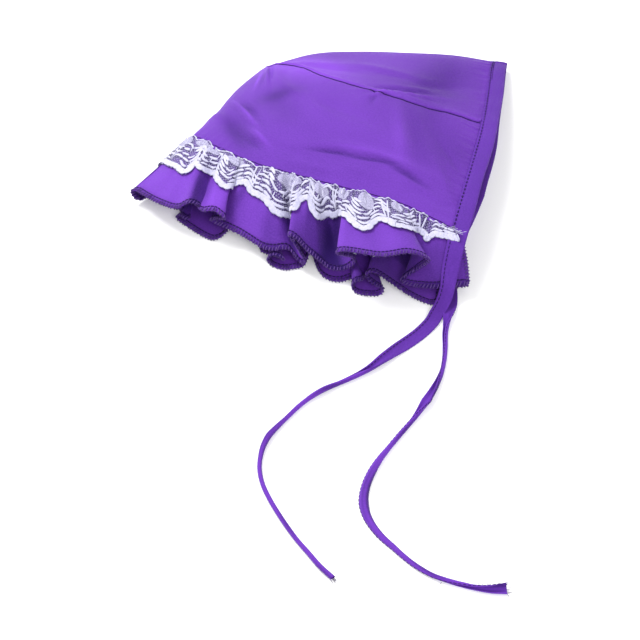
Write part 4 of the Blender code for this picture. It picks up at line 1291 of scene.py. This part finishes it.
# Short slanted ties between the rows, and the curved leaves that stand where the lace is short.
for along in np.arange(SLANT_FIRST, lace_length - SLANT_LAST, SLANT_PITCH):
    row = chance.integers(0, BAR_ROWS - 2)
    up = lace_low(along) + BAR_FIRST + BAR_PITCH * (row + np.linspace(*SLANT_RISE, BAR_POINTS))
    if up.max() < LACE_DEPTH - SLANT_BELOW_TOP:
        lean = np.linspace(-SLANT_LEAN, SLANT_LEAN, BAR_POINTS)
        x = along + lean * chance.choice([-1.0, 1.0])
        patterns.append(np.stack([x, up], axis=-1))
        widths.append(SLANT_HALF)
middle_low = lace_low_line[2 * VALLEY_REACH:-2 * VALLEY_REACH]
is_valley = middle_low > lace_low_line[VALLEY_REACH:-3 * VALLEY_REACH]
is_valley &= middle_low >= lace_low_line[3 * VALLEY_REACH:-VALLEY_REACH]
valley_run = lace_run[2 * VALLEY_REACH:-2 * VALLEY_REACH][is_valley]
valley_run = valley_run[np.insert(np.diff(valley_run) > LEAVES_APART, 0, True)]
for valley in valley_run:
    for lean in LEAF_LEANS:
        rise = np.linspace(*LEAF_RISE, BAR_POINTS)
        x = valley + lean * rise ** LEAF_CURVE
        low = lace_low(x) + LEAF_OFF_EDGE
        patterns.append(np.stack([x, low + (LACE_DEPTH - LEAF_OFF_EDGE - low) * rise], axis=-1))
        widths.append(LEAF_HALF)
pattern, widths = np.array(patterns), np.array(widths)
taper = np.clip(np.sin(np.linspace(0.0, math.pi, BAR_POINTS)) * BAR_TAPER, BAR_TIP, 1.0)
paths, ups = on_lace(pattern[..., 0], pattern[..., 1], np.full(pattern.shape[:2], BAR_LIFT))
lace_bars = threads("lace_bars", paths, ups, widths[:, None] * taper, BAR_HALF_HEIGHT)


LACE_CORD_DARK, LACE_CORD_LIGHT = (0.32, 0.31, 0.48, 1.0), (0.62, 0.61, 0.76, 1.0)


def lace_finish():
    """Flat white cords of the lace: close fine threads as noise, with broader drifts of tone."""
    finish = Finish("lace_cord", Metallic=0.0, Sheen_Weight=0.25)
    space = finish.wire("ShaderNodeTexCoord", None, None, 3)
    fine = finish.noise(space, 1100.0, 2.0, 0.6)
    broad = finish.noise(space, 160.0, 2.0, 0.5)
    tone = fine * 1.1 + broad * 0.7 - 0.4
    finish.feed("Base Color", finish.mixed(tone, LACE_CORD_DARK, LACE_CORD_LIGHT))
    finish.feed("Roughness", fine * 0.2 + 0.6)
    bump = {"Strength": 0.5, "Distance": 0.00015, "Height": fine}
    finish.feed("Normal", finish.wire("ShaderNodeBump", None, bump))
    return finish.material


lace_white = lace_finish()
lace_bars.data.materials.append(lace_white)
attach(lace_bars, "root")

# The solid border with its picots, and the fine header cord along the gathered edge.
BORDER_POINTS = 1800
BORDER_HALF, HEADER_HALF = 1.35, 0.34
# Where they start and stop, how far the border overhangs, and how unevenly wide the header is.
BORDER_START, BORDER_STOP, BORDER_OVERHANG = 0.2, 0.3, 0.1
HEADER_UNEVEN, HEADER_TURN = 0.10, 2.1
border_run = np.linspace(BORDER_START, lace_length - BORDER_STOP, BORDER_POINTS)
border_hang = 0.5 * picots(border_run)
border_up = np.stack([lace_low(border_run) + BORDER_HALF - BORDER_OVERHANG - border_hang,
                      lace_high(border_run) - HEADER_HALF])
header_wide = HEADER_HALF + HEADER_UNEVEN * np.sin(border_run * HEADER_TURN)
border_wide = np.stack([BORDER_HALF + border_hang, header_wide])
paths, ups = on_lace(np.stack([border_run] * 2), border_up, np.full(border_up.shape, BAR_LIFT))
lace_border = threads("lace_border", paths, ups, border_wide, BAR_HALF_HEIGHT, 8)
lace_border.data.materials.append(lace_white)
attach(lace_border, "root")

# Neck binding

# A strip of the cloth folded over the neck edge as a 10 mm casing, sewn down along its inner
# edge with one row of dark stitches that pucker it.

BINDING_WIDTH = 9.6
BINDING_HALF_HEIGHT = 1.05
# How far its middle lies below the cloth's outer face.
BINDING_SUNK = 0.6
BINDING_RINGS, BINDING_SAMPLES = 640, 20
# The top stitches: distance from the inner edge, where they start, pitch, length and height.
STITCH_FROM_EDGE = 1.5
STITCH_START = 1.5
STITCH_PITCH = 2.7
STITCH_LENGTH, STITCH_LIFT = 1.5, 0.10
STITCH_HALF_WIDTH, STITCH_HALF_HEIGHT = 0.26, 0.20
# Their groove: half width, depth everywhere, and how much deeper it is at each stitch.
GROOVE_HALF, GROOVE_DEPTH, GROOVE_AT_STITCH = 0.9, 0.10, 0.45
# At the crown, where the row starts and ends, it is sewn twice: from, to, pitch, distance from
# the first row, length and height.
DOUBLED_FROM, DOUBLED_TO, DOUBLED_PITCH = -22.0, 16.0, 2.1
DOUBLED_BESIDE, DOUBLED_LENGTH, DOUBLED_LIFT = 0.95, 1.4, 0.16
# The casing bulges unevenly: size, length and start. Its outer edge sways: size and length, and
# the share of the width from which it does.
BINDING_BULGES = (
    (0.10, 6.1, 0.0),
    (0.08, 2.7, 1.0),
)
BINDING_SWAY, BINDING_SWAY_LENGTH, BINDING_SWAY_FROM = 0.25, 8.3, 0.2
# Towards its ends the casing runs out to the thickness of the ties.
BINDING_RUN_OUT = 12.0
BINDING_END_SHARE = 0.30
BINDING_END_NARROW = 0.10
# The far end lies farther in than the near end, hidden below it: how far, over what length.
FAR_TUCK, FAR_TUCK_RUN = 5.5, 48.0


def binding_course(count):
    """Middle line of the binding outside the neck edge, the way it is wide and its outward."""
    edge = at_share(whole_edge(NECK_EDGE), np.linspace(0.0, 1.0, count))
    ahead = np.gradient(edge, axis=0)
    plan = part_of_line(edge_line(NECK_EDGE, 0), 0.0, 1.0)
    along = np.gradient(plan, axis=0)[:, :2]
    closest = np.argmin(((edge[:, None, :2] - plan[None, :, :2]) ** 2).sum(axis=-1), axis=1)
    wide = np.zeros(edge.shape)
    wide[:, 0], wide[:, 1] = along[closest, 1], -along[closest, 0]
    wide = unit(wide)
    outward = unit(np.cross(wide, ahead))
    run = length_along(edge)
    tuck = FAR_TUCK * np.clip(1.0 - (run[-1] - run) / FAR_TUCK_RUN, 0.0, 1.0)
    shift = wide * (SEAM_GAP + BINDING_WIDTH / 2 - tuck)[:, None]
    return edge + shift - outward * BINDING_SUNK, wide, outward


def swept(name, centre, wide, outward, profile):
    """A closed body of sections along a line; profile holds (sideways, outwards) for each ring."""
    ring = centre[:, None, :] + wide[:, None, :] * profile[..., :1]
    ring = ring + outward[:, None, :] * profile[..., 1:]
    count, around = ring.shape[:2]
    number = np.arange(count * around).reshape(count, around)
    following = np.roll(number, -1, axis=1)
    quads = np.stack([number[:-1], following[:-1], following[1:], number[1:]], axis=-1)
    faces = quads.reshape(-1, 4).tolist() + [number[0, ::-1].tolist(), number[-1].tolist()]
    girth = np.linalg.norm(np.diff(profile, axis=1), axis=-1).mean(axis=0)
    around_length = np.concatenate([[0.0], np.cumsum(girth)])
    along = length_along(centre)
    uv = np.stack(np.broadcast_arrays(along[:, None], around_length[None, :]), axis=-1)
    item = make_mesh(name, ring.reshape(-1, 3), faces, uv.reshape(-1, 2))
    turn_outwards(item.data)
    return item


def turn_outwards(mesh):
    """Turns the faces of a closed mesh outwards if the volume they enclose is negative."""
    mesh.calc_loop_triangles()
    points = np.empty(len(mesh.vertices) * 3)
    mesh.vertices.foreach_get("co", points)
    corners = np.empty(len(mesh.loop_triangles) * 3, np.int32)
    mesh.loop_triangles.foreach_get("vertices", corners)
    a, b, c = points.reshape(-1, 3)[corners.reshape(-1, 3)].transpose(1, 0, 2)
    if (a * np.cross(b, c)).sum() < 0:
        mesh.flip_normals()


def flat_section(samples):
    """A flat section with round edges: |cos|^0.55 for its half width and |sin|^0.75 for height."""
    t = np.linspace(0.0, 2 * math.pi, samples * 2, endpoint=False)
    x = np.sign(np.cos(t)) * np.abs(np.cos(t)) ** 0.55 / 2
    y = np.sign(np.sin(t)) * np.abs(np.sin(t)) ** 0.75
    return np.stack([x, y], axis=-1)


centre, wide, outward = binding_course(BINDING_RINGS)
binding_run = length_along(centre)
section = flat_section(BINDING_SAMPLES)
profile = np.broadcast_to(section, (BINDING_RINGS, *section.shape)).copy()
sideways = profile[..., 0] * BINDING_WIDTH
from_edge = sideways + BINDING_WIDTH / 2
groove = np.exp(-((from_edge - STITCH_FROM_EDGE) / GROOVE_HALF) ** 2)
stitch_wave = 0.5 + 0.5 * np.cos(2 * math.pi * (binding_run - STITCH_START) / STITCH_PITCH)
bulge = 1.0
for size, length, start in BINDING_BULGES:
    bulge = bulge + size * np.sin(binding_run / length + start)
height = profile[..., 1] * BINDING_HALF_HEIGHT * bulge[:, None]
deep = GROOVE_DEPTH + GROOVE_AT_STITCH * stitch_wave[:, None]
height -= np.sign(profile[..., 1]) * groove * deep
sway = BINDING_SWAY * np.sin(binding_run / BINDING_SWAY_LENGTH)[:, None]
profile[..., 0] = sideways + sway * (profile[..., 0] > BINDING_SWAY_FROM)
end_run = np.minimum(binding_run, binding_run[-1] - binding_run)[:, None]
at_end = 1.0 - np.clip(end_run / BINDING_RUN_OUT, 0.0, 1.0)
profile[..., 1] = height * (1.0 - (1.0 - BINDING_END_SHARE) * at_end)
profile[..., 0] *= 1.0 - BINDING_END_NARROW * at_end ** 2
neck_binding = swept("neck_binding_cloth", centre, wide, outward, profile)
# The binding and the ties are the same cloth in a deeper purple: painted shade, as they show darker
# than their light makes them.
SHADED_PURPLE = (0.078, 0.0095, 0.268)
binding_cloth = cloth_finish("binding_cloth", SHADED_PURPLE)
neck_binding.data.materials.append(binding_cloth)
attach(neck_binding, "root")
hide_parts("neck_binding")


def on_binding(distance, inside, lift):
    """Points on the outer face of the binding, millimetres from its inner edge."""
    place, side, up = (points_at(distance, binding_run, table)
                       for table in (centre, wide, outward))
    shift = side * (inside - BINDING_WIDTH / 2)[..., None]
    return place + shift + up * (np.asarray(lift) + BINDING_HALF_HEIGHT * 0.84)[..., None], up


single = np.arange(STITCH_START, binding_run[-1] - STITCH_START, STITCH_PITCH)
crown_run = binding_run[-1] / 2
doubled = np.arange(crown_run + DOUBLED_FROM, crown_run + DOUBLED_TO, DOUBLED_PITCH)
parts = [stitch_row(single, STITCH_FROM_EDGE, STITCH_LENGTH, STITCH_LIFT, on_binding),
         stitch_row(doubled, STITCH_FROM_EDGE + DOUBLED_BESIDE, DOUBLED_LENGTH, DOUBLED_LIFT,
                    on_binding)]
paths, ups = (np.concatenate(arrays) for arrays in zip(*parts))
binding_stitches = threads("binding_stitches", paths, ups, STITCH_HALF_WIDTH, STITCH_HALF_HEIGHT)
binding_stitches.data.materials.append(stitch_dark)
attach(binding_stitches, "root")

# Ties

# Two flat 7 mm strips, folded and sewn from the same cloth, that run on from the ends of the
# binding. They lie on the table, turn and roll up narrow along their way, and end cut and frayed.

TIE_WALL = 0.65
TIE_RINGS = 320
# How far a tie starts inside the binding and then runs straight on, and its gap to the table.
TIE_INSIDE, TIE_STRAIGHT = 3.0, 4.0
TIE_CLEAR = 0.15
# The courses of the ties from the photograph: x, y, z.
UPPER_TIE = (
    (69.3, -75.9, 19.6),
    (68.0, -80.8, 15.8),
    (66.9, -85.3, 12.2),
    (65.9, -90.3, 8.6),
    (64.5, -94.0, 4.8),
    (62.5, -97.6, 2.2),
    (60.0, -102.0, 1.2),
    (57.0, -108.0, 1.2),
    (51.0, -115.0, 0.8),
    (45.0, -120.5, 0.8),
    (39.0, -125.5, 0.8),
    (33.0, -131.0, 0.8),
    (25.5, -138.0, 0.9),
    (16.0, -144.0, 1.1),
    (5.0, -150.0, 1.1),
    (-4.0, -156.0, 1.1),
    (-10.0, -161.5, 1.1),
    (-15.5, -168.0, 1.1),
    (-21.0, -175.0, 1.1),
    (-25.5, -182.0, 1.1),
    (-28.5, -190.0, 1.1),
    (-29.5, -199.5, 1.1),
    (-28.0, -209.0, 1.1),
    (-24.5, -218.0, 1.1),
    (-20.5, -226.0, 1.1),
    (-16.0, -234.0, 1.1),
    (-11.0, -242.0, 1.1),
    (-5.5, -249.5, 1.1),
    (0.0, -257.0, 1.1),
    (6.0, -263.5, 1.0),
)
LOWER_TIE = (
    (67.2, -75.0, 1.2),
    (68.0, -88.0, 0.8),
    (67.3, -98.0, 0.8),
    (65.6, -106.5, 0.8),
    (64.2, -115.0, 0.9),
    (63.8, -123.5, 1.0),
    (63.0, -132.0, 1.1),
    (61.2, -141.0, 1.1),
    (58.0, -150.0, 1.1),
    (54.0, -158.0, 1.1),
    (48.5, -167.0, 1.1),
    (42.5, -175.5, 1.1),
    (36.5, -184.0, 1.1),
    (30.5, -193.0, 1.1),
    (25.5, -202.0, 1.1),
    (22.3, -210.5, 1.1),
    (21.0, -218.5, 1.1),
    (21.8, -226.0, 1.1),
    (24.5, -233.0, 1.1),
    (29.0, -240.0, 1.1),
    (34.5, -246.0, 1.1),
    (40.0, -252.0, 1.1),
    (46.0, -257.5, 1.1),
    (52.5, -262.0, 1.1),
    (59.5, -265.0, 1.0),
    (66.5, -267.3, 0.9),
    (73.0, -269.0, 0.8),
    (80.0, -269.8, 0.8),
    (87.0, -269.5, 0.8),
)
# How far the strip has rolled up along its way, and which way the roll's slit looks.
UPPER_ROLL = (
    # share of the length, width, degrees rolled, degrees turned
    (0.00, 9.8, 0.0, 0.0),
    (0.09, 9.2, 14.0, 0.0),
    (0.13, 7.8, 24.0, -8.0),
    (0.30, 7.2, 40.0, -10.0),
    (0.35, 6.8, 120.0, 0.0),
    (0.41, 6.2, 300.0, 30.0),
    (0.455, 5.4, 330.0, 60.0),
    (0.49, 6.6, 225.0, 60.0),
    (0.53, 5.4, 320.0, 70.0),
    (0.59, 5.2, 335.0, 80.0),
    (0.645, 6.4, 225.0, 90.0),
    (0.70, 5.0, 335.0, 110.0),
    (0.80, 5.3, 320.0, 120.0),
    (0.90, 5.0, 335.0, 140.0),
    (1.00, 5.4, 290.0, 150.0),
)
LOWER_ROLL = (
    # share of the length, width, degrees rolled, degrees turned
    (0.00, 9.2, 0.0, 0.0),
    (0.08, 7.4, 40.0, 0.0),
    (0.14, 7.2, 50.0, 5.0),
    (0.17, 6.8, 160.0, 20.0),
    (0.20, 6.4, 290.0, 40.0),
    (0.25, 5.8, 310.0, 60.0),
    (0.30, 5.2, 330.0, 80.0),
    (0.35, 6.8, 230.0, 40.0),
    (0.39, 7.2, 165.0, 20.0),
    (0.45, 5.4, 330.0, 80.0),
    (0.52, 5.4, 320.0, 140.0),
    (0.58, 6.8, 230.0, 172.0),
    (0.66, 7.0, 185.0, 185.0),
    (0.74, 6.2, 270.0, 185.0),
    (0.80, 5.5, 320.0, 170.0),
    (0.88, 5.3, 330.0, 120.0),
    (0.94, 5.6, 300.0, 55.0),
    (1.00, 7.0, 140.0, 20.0),
)
ROLL_SAMPLES = 13
# Rolled cloth gets a painted glint, lighter: tone, how it comes and goes, how it falls across, and
# its streaks.
GLINT, GLINT_WAVE, GLINT_ACROSS, GLINT_STREAK = 0.40, 0.30, 0.18, 0.30
# The degrees of roll from which a strip glints, and how many more until it glints fully.
GLINT_FROM, GLINT_UNTIL = 60.0, 120.0
# The glint's length along the tie, its swing and the swing's length, and how often its streaks
# turn across the tie and how long they are.
GLINT_LENGTH, GLINT_SWING, GLINT_SWING_LENGTH = 7.3, 1.2, 19.0
STREAK_TURNS, STREAK_LENGTH = 2.4, 13.0
# The folded strips are sewn shut along one edge: the sample of the section that the stitches lie
# on, and 1 or -1 for its inner or its outer face.
SEWN_EDGES = ((23, 1.0), (11, -1.0))
# Where the first stitch lies and how far before the end the last one.
SEWN_FROM, SEWN_TO = 2.0, 3.0
SEWN_PITCH = 2.3
SEWN_HALF_LENGTH = 0.75
SEWN_HALF_WIDTH, SEWN_HALF_HEIGHT, SEWN_LIFT = 0.24, 0.18, 0.05

Tie = namedtuple("Tie", "path across up x y normal")


def rolled_section(width, roll, wall):
    """A strip bent to an arc: sin and 1 - cos of the angle times width over the whole angle."""
    t = np.linspace(-1.0, 1.0, ROLL_SAMPLES)[None, :]
    bend = np.maximum(np.radians(roll), 0.02)[:, None]
    angle = bend * t / 2
    x = width[:, None] / bend * np.sin(angle)
    y = width[:, None] / bend * (1.0 - np.cos(angle))
    thick = wall / 2 * np.sqrt(1.0 - (0.96 * t) ** 6)
    outer = np.stack([x + np.sin(angle) * thick, y - np.cos(angle) * thick], axis=-1)
    inner = np.stack([x - np.sin(angle) * thick, y + np.cos(angle) * thick], axis=-1)
    section = np.concatenate([outer, inner[:, ::-1]], axis=1)
    return section - section.mean(axis=1, keepdims=True)


def make_tie(name, node, route, rolls, binding_end):
    """A strip that runs straight on from the binding's end and lies on the table.

    Its section bends to an arc and turns about the middle line by its table of rolls.
    """
    last, before = binding_end
    onward = unit(last - before)
    start = np.stack([last - onward * TIE_INSIDE, last + onward * TIE_STRAIGHT])
    path = at_share(smooth_line(np.vstack([start, route])), np.linspace(0.0, 1.0, TIE_RINGS))
    table = np.array(rolls)
    shares = length_along(path) / length_along(path)[-1]
    ahead = unit(np.gradient(path, axis=0))
    across = unit(np.stack([-ahead[:, 1], ahead[:, 0], np.zeros(len(path))], axis=-1))
    up = np.cross(ahead, across)
    width, roll, turn = (np.interp(shares, table[:, 0], table[:, k]) for k in (1, 2, 3))
    section = rolled_section(width, roll, TIE_WALL)
    turn = np.radians(turn)[:, None]
    x = section[..., 0] * np.cos(turn) - section[..., 1] * np.sin(turn)
    y = section[..., 0] * np.sin(turn) + section[..., 1] * np.cos(turn)
    lowest = (path[:, 2:] + y * up[:, 2:]).min(axis=1)
    path = path + np.maximum(TIE_CLEAR - lowest, 0.0)[:, None] * [0.0, 0.0, 1.0]
    item = swept(name, path, across, up, np.stack([x, y], axis=-1))
    run = length_along(path)[:, None]
    # Painted highlight: rolled stretches glint lighter in waves and streaks along the tie.
    rolled = np.clip((roll - GLINT_FROM) / GLINT_UNTIL, 0.0, 1.0)[:, None]
    swing = GLINT_SWING * np.sin(run / GLINT_SWING_LENGTH)
    glint = GLINT + GLINT_WAVE * np.sin(run / GLINT_LENGTH + swing) - GLINT_ACROSS * x
    glint = glint + GLINT_STREAK * np.sin(STREAK_TURNS * x + run / STREAK_LENGTH)
    set_painted_light(item, glint * rolled)
    item.data.materials.append(binding_cloth)
    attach(item, "root")
    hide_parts(node)
    normal = np.concatenate([-np.sin(turn), np.cos(turn)], axis=1)
    return Tie(path, across, up, x, y, normal)


near_tie = make_tie("tie_upper_cloth", "tie_upper", UPPER_TIE, UPPER_ROLL, centre[:2])
far_tie = make_tie("tie_lower_cloth", "tie_lower", LOWER_TIE, LOWER_ROLL, centre[:-3:-1])
parts = []
for tie, (sample, face) in zip((near_tie, far_tie), SEWN_EDGES):
    line = tie.path + tie.across * tie.x[:, sample, None] + tie.up * tie.y[:, sample, None]
    away = (tie.across * tie.normal[:, :1] + tie.up * tie.normal[:, 1:]) * face
    run = length_along(line)
    at = np.arange(SEWN_FROM, run[-1] - SEWN_TO, SEWN_PITCH)[:, None]
    at = at + np.linspace(-SEWN_HALF_LENGTH, SEWN_HALF_LENGTH, 5)[None, :]
    point, over = (points_at(at, run, table) for table in (line, away))
    parts.append((point + over * SEWN_LIFT, over))
paths, ups = (np.concatenate(arrays) for arrays in zip(*parts))
tie_stitches = threads("tie_stitches", paths, ups, SEWN_HALF_WIDTH, SEWN_HALF_HEIGHT)
tie_stitches.data.materials.append(stitch_dark)
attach(tie_stitches, "root")

# Loose threads

# White threads fray from the cut end of the lace, and purple ones from the cut ends of the ties.

STRAND_POINTS = 8
STRAND_HALF = 0.11
STRAND_SHORTEST = 0.35
STRAND_CURL = 0.10
STRAND_LOWEST = 0.25
# The lace: how many threads, how far below its upper edge and inside its end they start, how
# high, their way, how far they spread, and the longest.
FRAYED = 16
FRAYED_BELOW, FRAYED_INSIDE, FRAYED_LIFT = (7.5, 0.5), (0.0, 0.6), 0.2
FRAYED_WAY, FRAYED_SPREAD, FRAYED_LONGEST = (0.62, -0.35, 0.0), 0.42, 5.0
# The ties: how far the threads spread, and the longest.
TIE_SPREAD, TIE_LONGEST = 0.30, 3.0
# A few more stand out from the far tie: share of its length, and 1 for its left, -1 for its right.
# They start off its middle line and stand out by a share of their length.
STANDING = ((0.735, -1.0), (0.885, -1.0), (0.950, 1.0), (0.958, 1.0), (0.966, 1.0))
STANDING_FROM_MIDDLE, STANDING_LENGTH = 1.8, 0.8


def strands(name, starts, way, spread, longest, finish):
    """Fine threads from their starts: way plus a chance turn, curling by the square of the run."""
    count = len(starts)
    lengths = chance.uniform(STRAND_SHORTEST, 1.0, (count, 1, 1))
    run = np.linspace(0.0, 1.0, STRAND_POINTS)[None, :, None] * lengths * longest
    heading = np.asarray(way) + chance.normal(0.0, spread, (count, 1, 3))
    curl = chance.normal(0.0, STRAND_CURL, (count, 1, 3))
    paths = starts[:, None, :] + heading * run + curl * run ** 2 / longest * 2.0
    paths[..., 2] = np.maximum(paths[..., 2], STRAND_LOWEST)
    ups = np.broadcast_to([0.05, 0.02, 1.0], paths.shape)
    item = threads(name, paths, ups, STRAND_HALF, STRAND_HALF, 4)
    item.data.materials.append(finish)
    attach(item, "root")
    return item


lowest, highest = (LACE_DEPTH - below for below in FRAYED_BELOW)
frayed_up = chance.uniform(lowest, highest, FRAYED)
frayed_along = chance.uniform(*FRAYED_INSIDE, FRAYED)
frayed, _ = on_lace(frayed_along, frayed_up, np.full(FRAYED, FRAYED_LIFT))
lace_strands = strands("lace_loose_threads", frayed, FRAYED_WAY, FRAYED_SPREAD, FRAYED_LONGEST,
                       lace_white)
ties = (near_tie, far_tie)
tie_starts = np.concatenate([
    tie.path[-1] + tie.across[-1] * tie.x[-1, ::3, None] + tie.up[-1] * tie.y[-1, ::3, None]
    for tie in ties])
tie_ways = np.repeat([tie.path[-1] - tie.path[-4] for tie in ties], len(tie_starts) // 2, axis=0)
tie_ways = unit(tie_ways)
standing = np.array(STANDING)
place = (standing[:, 0] * (TIE_RINGS - 1)).astype(int)
aside = far_tie.across[place] * standing[:, 1:]
tie_starts = np.vstack([tie_starts, far_tie.path[place] + aside * STANDING_FROM_MIDDLE])
tie_ways = np.vstack([tie_ways, aside * STANDING_LENGTH])
tie_strands = strands("tie_loose_threads", tie_starts, tie_ways[:, None, :], TIE_SPREAD,
                      TIE_LONGEST, stitch_dark)

# Sheets

# The sizes of the flat cuts of the band, the panel and the ruffle, from the mean lengths of their
# grids.
# The tongue of the panel and the flared ruffle aren't rectangles.


def cut_size(grid):
    """Mean lengths of a cloth grid's columns and rows in metres."""
    return cloth_lengths(grid)[-1, -1] * MM


band_cut, panel_cut, ruffle_cut = (cut_size(g) for g in (band_grid, panel_grid, ruffle_grid))
float(panel_cut.prod())
float(ruffle_cut.prod())

# Table, light and camera

# A plain white table under a soft light from the upper left, a weaker one from in front and an
# even white sky. The camera stands before the face opening and looks down at 50 degrees.

TABLE_SIZE = 6.0
TABLE_DARK, TABLE_LIGHT = (0.86, 0.86, 0.86, 1.0), (0.88, 0.88, 0.88, 1.0)
TABLE_GLOW = 0.14
WHITE = (1.0, 1.0, 1.0, 1.0)
SKY = 0.80
bpy.ops.mesh.primitive_plane_add(size=TABLE_SIZE, location=(0.0, 0.0, 0.0))
table_top = bpy.context.object
table_top.name = "table_top"
table_finish = Finish("white_table", Roughness=0.9, Metallic=0.0)
space = table_finish.wire("ShaderNodeTexCoord", None, None, 3)
tone = table_finish.noise(space, 40.0, 3.0)
table_finish.feed("Base Color", table_finish.mixed(tone, TABLE_DARK, TABLE_LIGHT))
table_finish.shader.inputs["Specular IOR Level"].default_value = 0.1
table_finish.shader.inputs["Emission Color"].default_value = WHITE
table_finish.shader.inputs["Emission Strength"].default_value = TABLE_GLOW
table_top.data.materials.append(table_finish.material)

world = bpy.data.worlds.new("white_sky")
world.use_nodes = True
world.node_tree.nodes["Background"].inputs["Color"].default_value = WHITE
world.node_tree.nodes["Background"].inputs["Strength"].default_value = SKY
bpy.context.scene.world = world

# Each lamp: place in metres and power.
LAMPS = (
    ((-0.52, 0.50, 0.95), 16.5),
    ((0.30, -0.80, 0.70), 4.8),
)
LAMP_SIZE = 0.55
LAMP_AIM = Vector((0.0, -0.05, 0.0))
for place, power in LAMPS:
    light = bpy.data.lights.new("soft_light", "AREA")
    light.shape = "SQUARE"
    light.size = LAMP_SIZE
    light.energy = power
    lamp = bpy.data.objects.new("soft_light", light)
    lamp.location = place
    lamp.rotation_euler = (LAMP_AIM - lamp.location).to_track_quat("-Z", "Y").to_euler()
    bpy.context.scene.collection.objects.link(lamp)

camera_data = bpy.data.cameras.new("camera")
camera_data.lens = CAMERA_LENS
camera_data.sensor_width = CAMERA_SENSOR
camera = bpy.data.objects.new("camera", camera_data)
camera.location = to_frame(camera_place)
camera.rotation_euler = Vector(camera_look).to_track_quat("-Z", "Y").to_euler()
bpy.context.scene.collection.objects.link(camera)
bpy.context.scene.camera = camera
bpy.context.scene.view_settings.view_transform = "Standard"
